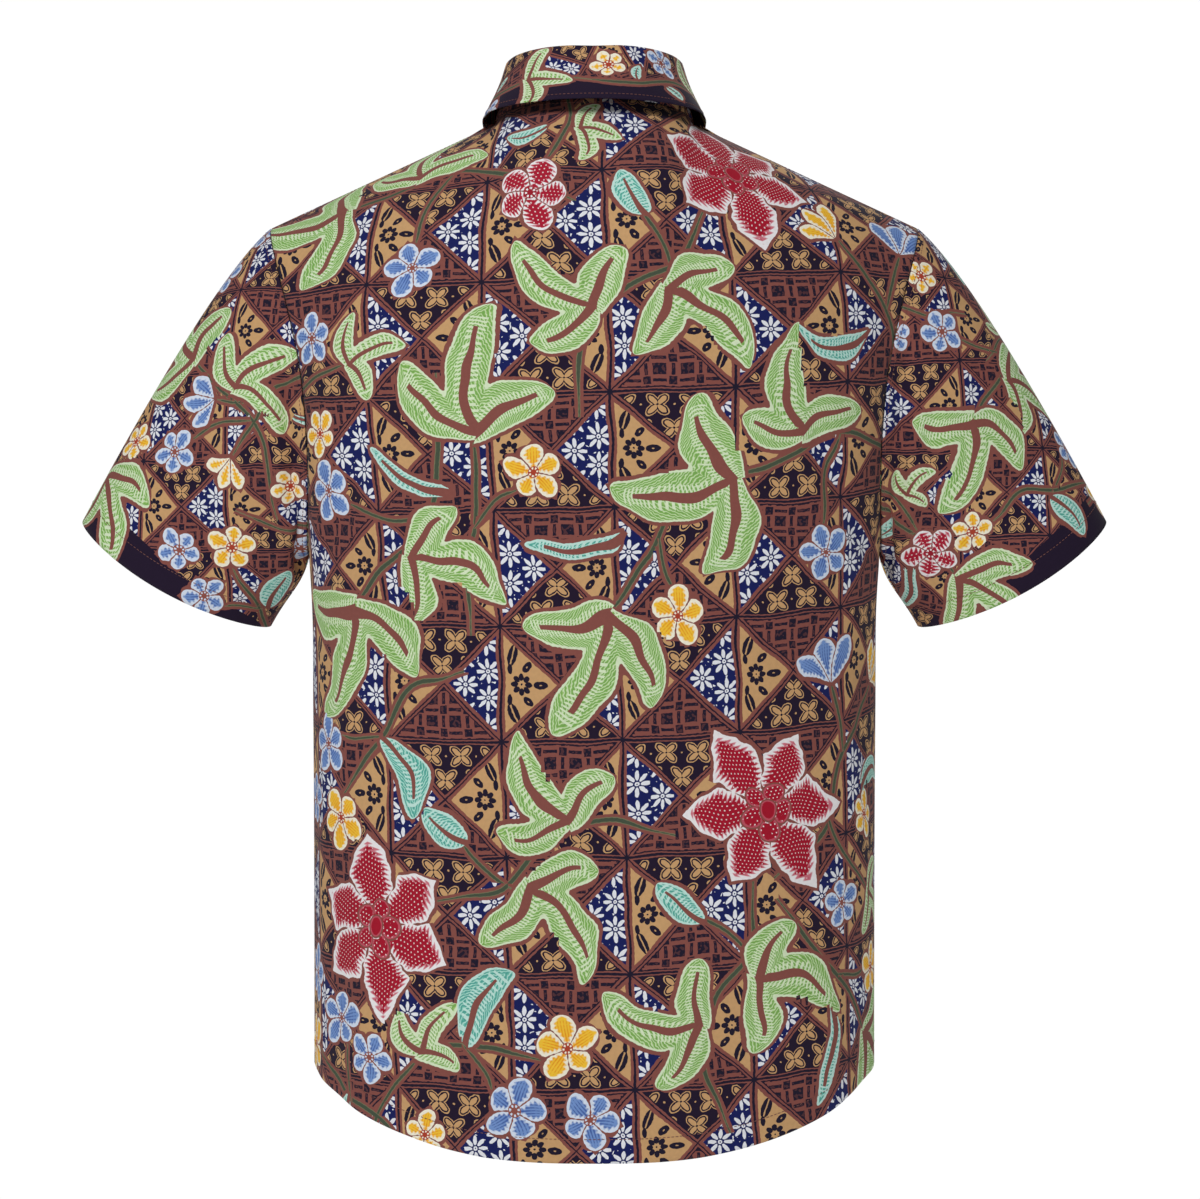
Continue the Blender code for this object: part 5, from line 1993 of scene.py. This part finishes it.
shell, shell_shader, shell_fleck = grained(
    "button_shell", dye(44, 24, 24), dye(112, 66, 52), 340, 0.15
)
shell_shader.inputs["Coat Weight"].default_value = 0.35
shell_fleck.inputs["Distortion"].default_value = 1.6
shell_gloss = shell.node_tree.nodes.new("ShaderNodeMapRange")
shell_gloss.inputs["To Min"].default_value = 0.20
shell_gloss.inputs["To Max"].default_value = 0.40
shell.node_tree.links.new(shell_fleck.outputs["Fac"], shell_gloss.inputs["Value"])
shell.node_tree.links.new(shell_gloss.outputs["Result"], shell_shader.inputs["Roughness"])


def button_way(node):
    """A button's middle, and the three ways across, up and out of its face."""
    points = np.array([tuple(vertex.co) for vertex in node.data.vertices])
    middle = (points.max(axis=0) + points.min(axis=0)) / 2
    ways = np.linalg.svd(points - points.mean(axis=0), full_matrices=False)[2]
    out = ways[2] if ways[2][1] < 0 else -ways[2]
    up = unit(np.array([0.0, 0.0, 1.0]) - out * out[2])
    return middle, np.cross(up, out), up, out


def slit_places(middle, across, up, out):
    """Stitches round a buttonhole, each lying outwards from the slit."""
    places = []
    squaring = (SLIT_LENGTH / 2) ** SLIT_SQUARENESS
    for step in range(SLIT_STITCHES):
        turn = math.tau * (step + 0.5) / SLIT_STITCHES
        long = math.sin(turn) * SLIT_LENGTH / 2
        long = math.copysign(abs(long) ** (1 - SLIT_SQUARENESS) * squaring, long)
        broad = math.cos(turn) * SLIT_BREADTH / 2
        place = middle + up * long + across * broad
        away = unit(across * math.cos(turn) + up * math.sin(turn) * 0.35)
        places.append((place, away, out))
    return places


def surface_place(tree, x, z):
    """The point of a surface in front of a place, and its outward way."""
    point, normal, _, _ = tree.ray_cast(Vector((x, -1, z)), Vector((0, 1, 0)))
    out = np.array(normal) if normal.y < 0 else -np.array(normal)
    return np.array(point), out


closed_front = surface_tree(front_left_face)
closed_band = surface_tree(stand_face)
threads = []
slits = []
for name in BUTTON_NAMES:
    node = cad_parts[name]
    node.data.materials.clear()
    node.data.materials.append(shell)
    middle, across, up, out = button_way(node)
    for side in (-1, 1):
        bpy.ops.object.select_all(action="DESELECT")
        bpy.ops.mesh.primitive_cylinder_add(
            vertices=10, radius=THREAD_RADIUS, depth=2 * HOLE_OFFSET + 2 * THREAD_RADIUS
        )
        bar = bpy.context.object
        bpy.ops.object.mode_set(mode="EDIT")
        bpy.ops.mesh.select_all(action="SELECT")
        bpy.ops.mesh.bevel(offset=THREAD_ROUNDING, segments=2)
        bpy.ops.object.mode_set(mode="OBJECT")
        for vertex in bar.data.vertices:
            x, y, z = vertex.co
            bow = THREAD_BOW - 0.5 * (z * z) / THREAD_BOW_RADIUS
            place = middle + across * z + up * (side * HOLE_OFFSET + x)
            vertex.co = place + out * (THREAD_HEIGHT + y + bow)
        threads.append(bar)
    if name == "button_collar":
        point, normal = surface_place(closed_band, 0.0, middle[2])
        slits += slit_places(point, up, across, normal)
    else:
        point, normal = surface_place(closed_front, 0.0, middle[2])
        slits += slit_places(point, across, up, normal)

bpy.ops.object.select_all(action="DESELECT")
for bar in threads:
    bar.select_set(True)
bpy.context.view_layer.objects.active = threads[0]
bpy.ops.object.join()
button_threads = bpy.context.object
button_threads.name = "button_threads"
button_threads.data.materials.clear()
button_threads.data.materials.append(thread_material)
bpy.ops.object.shade_smooth()
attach(button_threads, "root")

slit_parts = [np.array(part) for part in zip(*slits)]
buttonholes_mesh = stitch_mesh("buttonhole_stitches", *slit_parts)
buttonholes = add_object("buttonhole_stitches", buttonholes_mesh)
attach(buttonholes, "root")

# ---------------------------------------------------------------------------
# Studio
# A plain pale floor well below the shirt, a white surround, a broad soft light over
# the back and two weaker ones for the side and the front.
# ---------------------------------------------------------------------------

bpy.ops.object.select_all(action="DESELECT")
bpy.ops.object.camera_add(location=(-0.0041, 2.4, -0.3516), rotation=(math.pi / 2, 0, math.pi))
camera = bpy.context.object
camera.data.sensor_width = 36
camera.data.lens = 99.3
bpy.context.scene.camera = camera

bpy.ops.mesh.primitive_plane_add(size=6, location=(0, 0, -1.45))
floor = bpy.context.object
floor.name = "studio_floor"
pale = bpy.data.materials.new("pale_floor")
pale.use_nodes = True
pale_shader = pale.node_tree.nodes["Principled BSDF"]
pale_shader.inputs["Base Color"].default_value = (0.9, 0.9, 0.9, 1)
pale_shader.inputs["Roughness"].default_value = 0.9
pale_shader.inputs["Emission Color"].default_value = (1, 1, 1, 1)
pale_shader.inputs["Emission Strength"].default_value = 0.45
floor.data.materials.append(pale)

world = bpy.data.worlds.new("studio_white")
world.use_nodes = True
sky = world.node_tree.nodes["Background"]
sky.inputs["Color"].default_value = (1, 1, 1, 1)
seen = world.node_tree.nodes.new("ShaderNodeLightPath")
lit = world.node_tree.nodes.new("ShaderNodeMapRange")
lit.inputs["To Min"].default_value = 0.20
lit.inputs["To Max"].default_value = 1.02
world.node_tree.links.new(seen.outputs["Is Camera Ray"], lit.inputs["Value"])
world.node_tree.links.new(lit.outputs["Result"], sky.inputs["Strength"])
bpy.context.scene.world = world
bpy.context.scene.view_settings.view_transform = "Standard"

# Name, place, size and strength of each soft light, all turned to the shirt.
SHIRT_MIDDLE = Vector((0, 0, -0.35))
for name, place, size, strength in (
    ("light_over_back", (0.5, 2.1, 1.6), 0.9, 40),
    ("light_left", (2.4, 1.2, 0.2), 1.6, 3),
    ("light_over_front", (-0.4, -2.6, 1.3), 1.8, 27),
):
    bpy.ops.object.light_add(type="AREA", location=place)
    lamp = bpy.context.object
    lamp.name = name
    lamp.data.size = size
    lamp.data.energy = strength
    to_shirt = SHIRT_MIDDLE - Vector(place)
    lamp.rotation_euler = to_shirt.to_track_quat("-Z", "Y").to_euler()
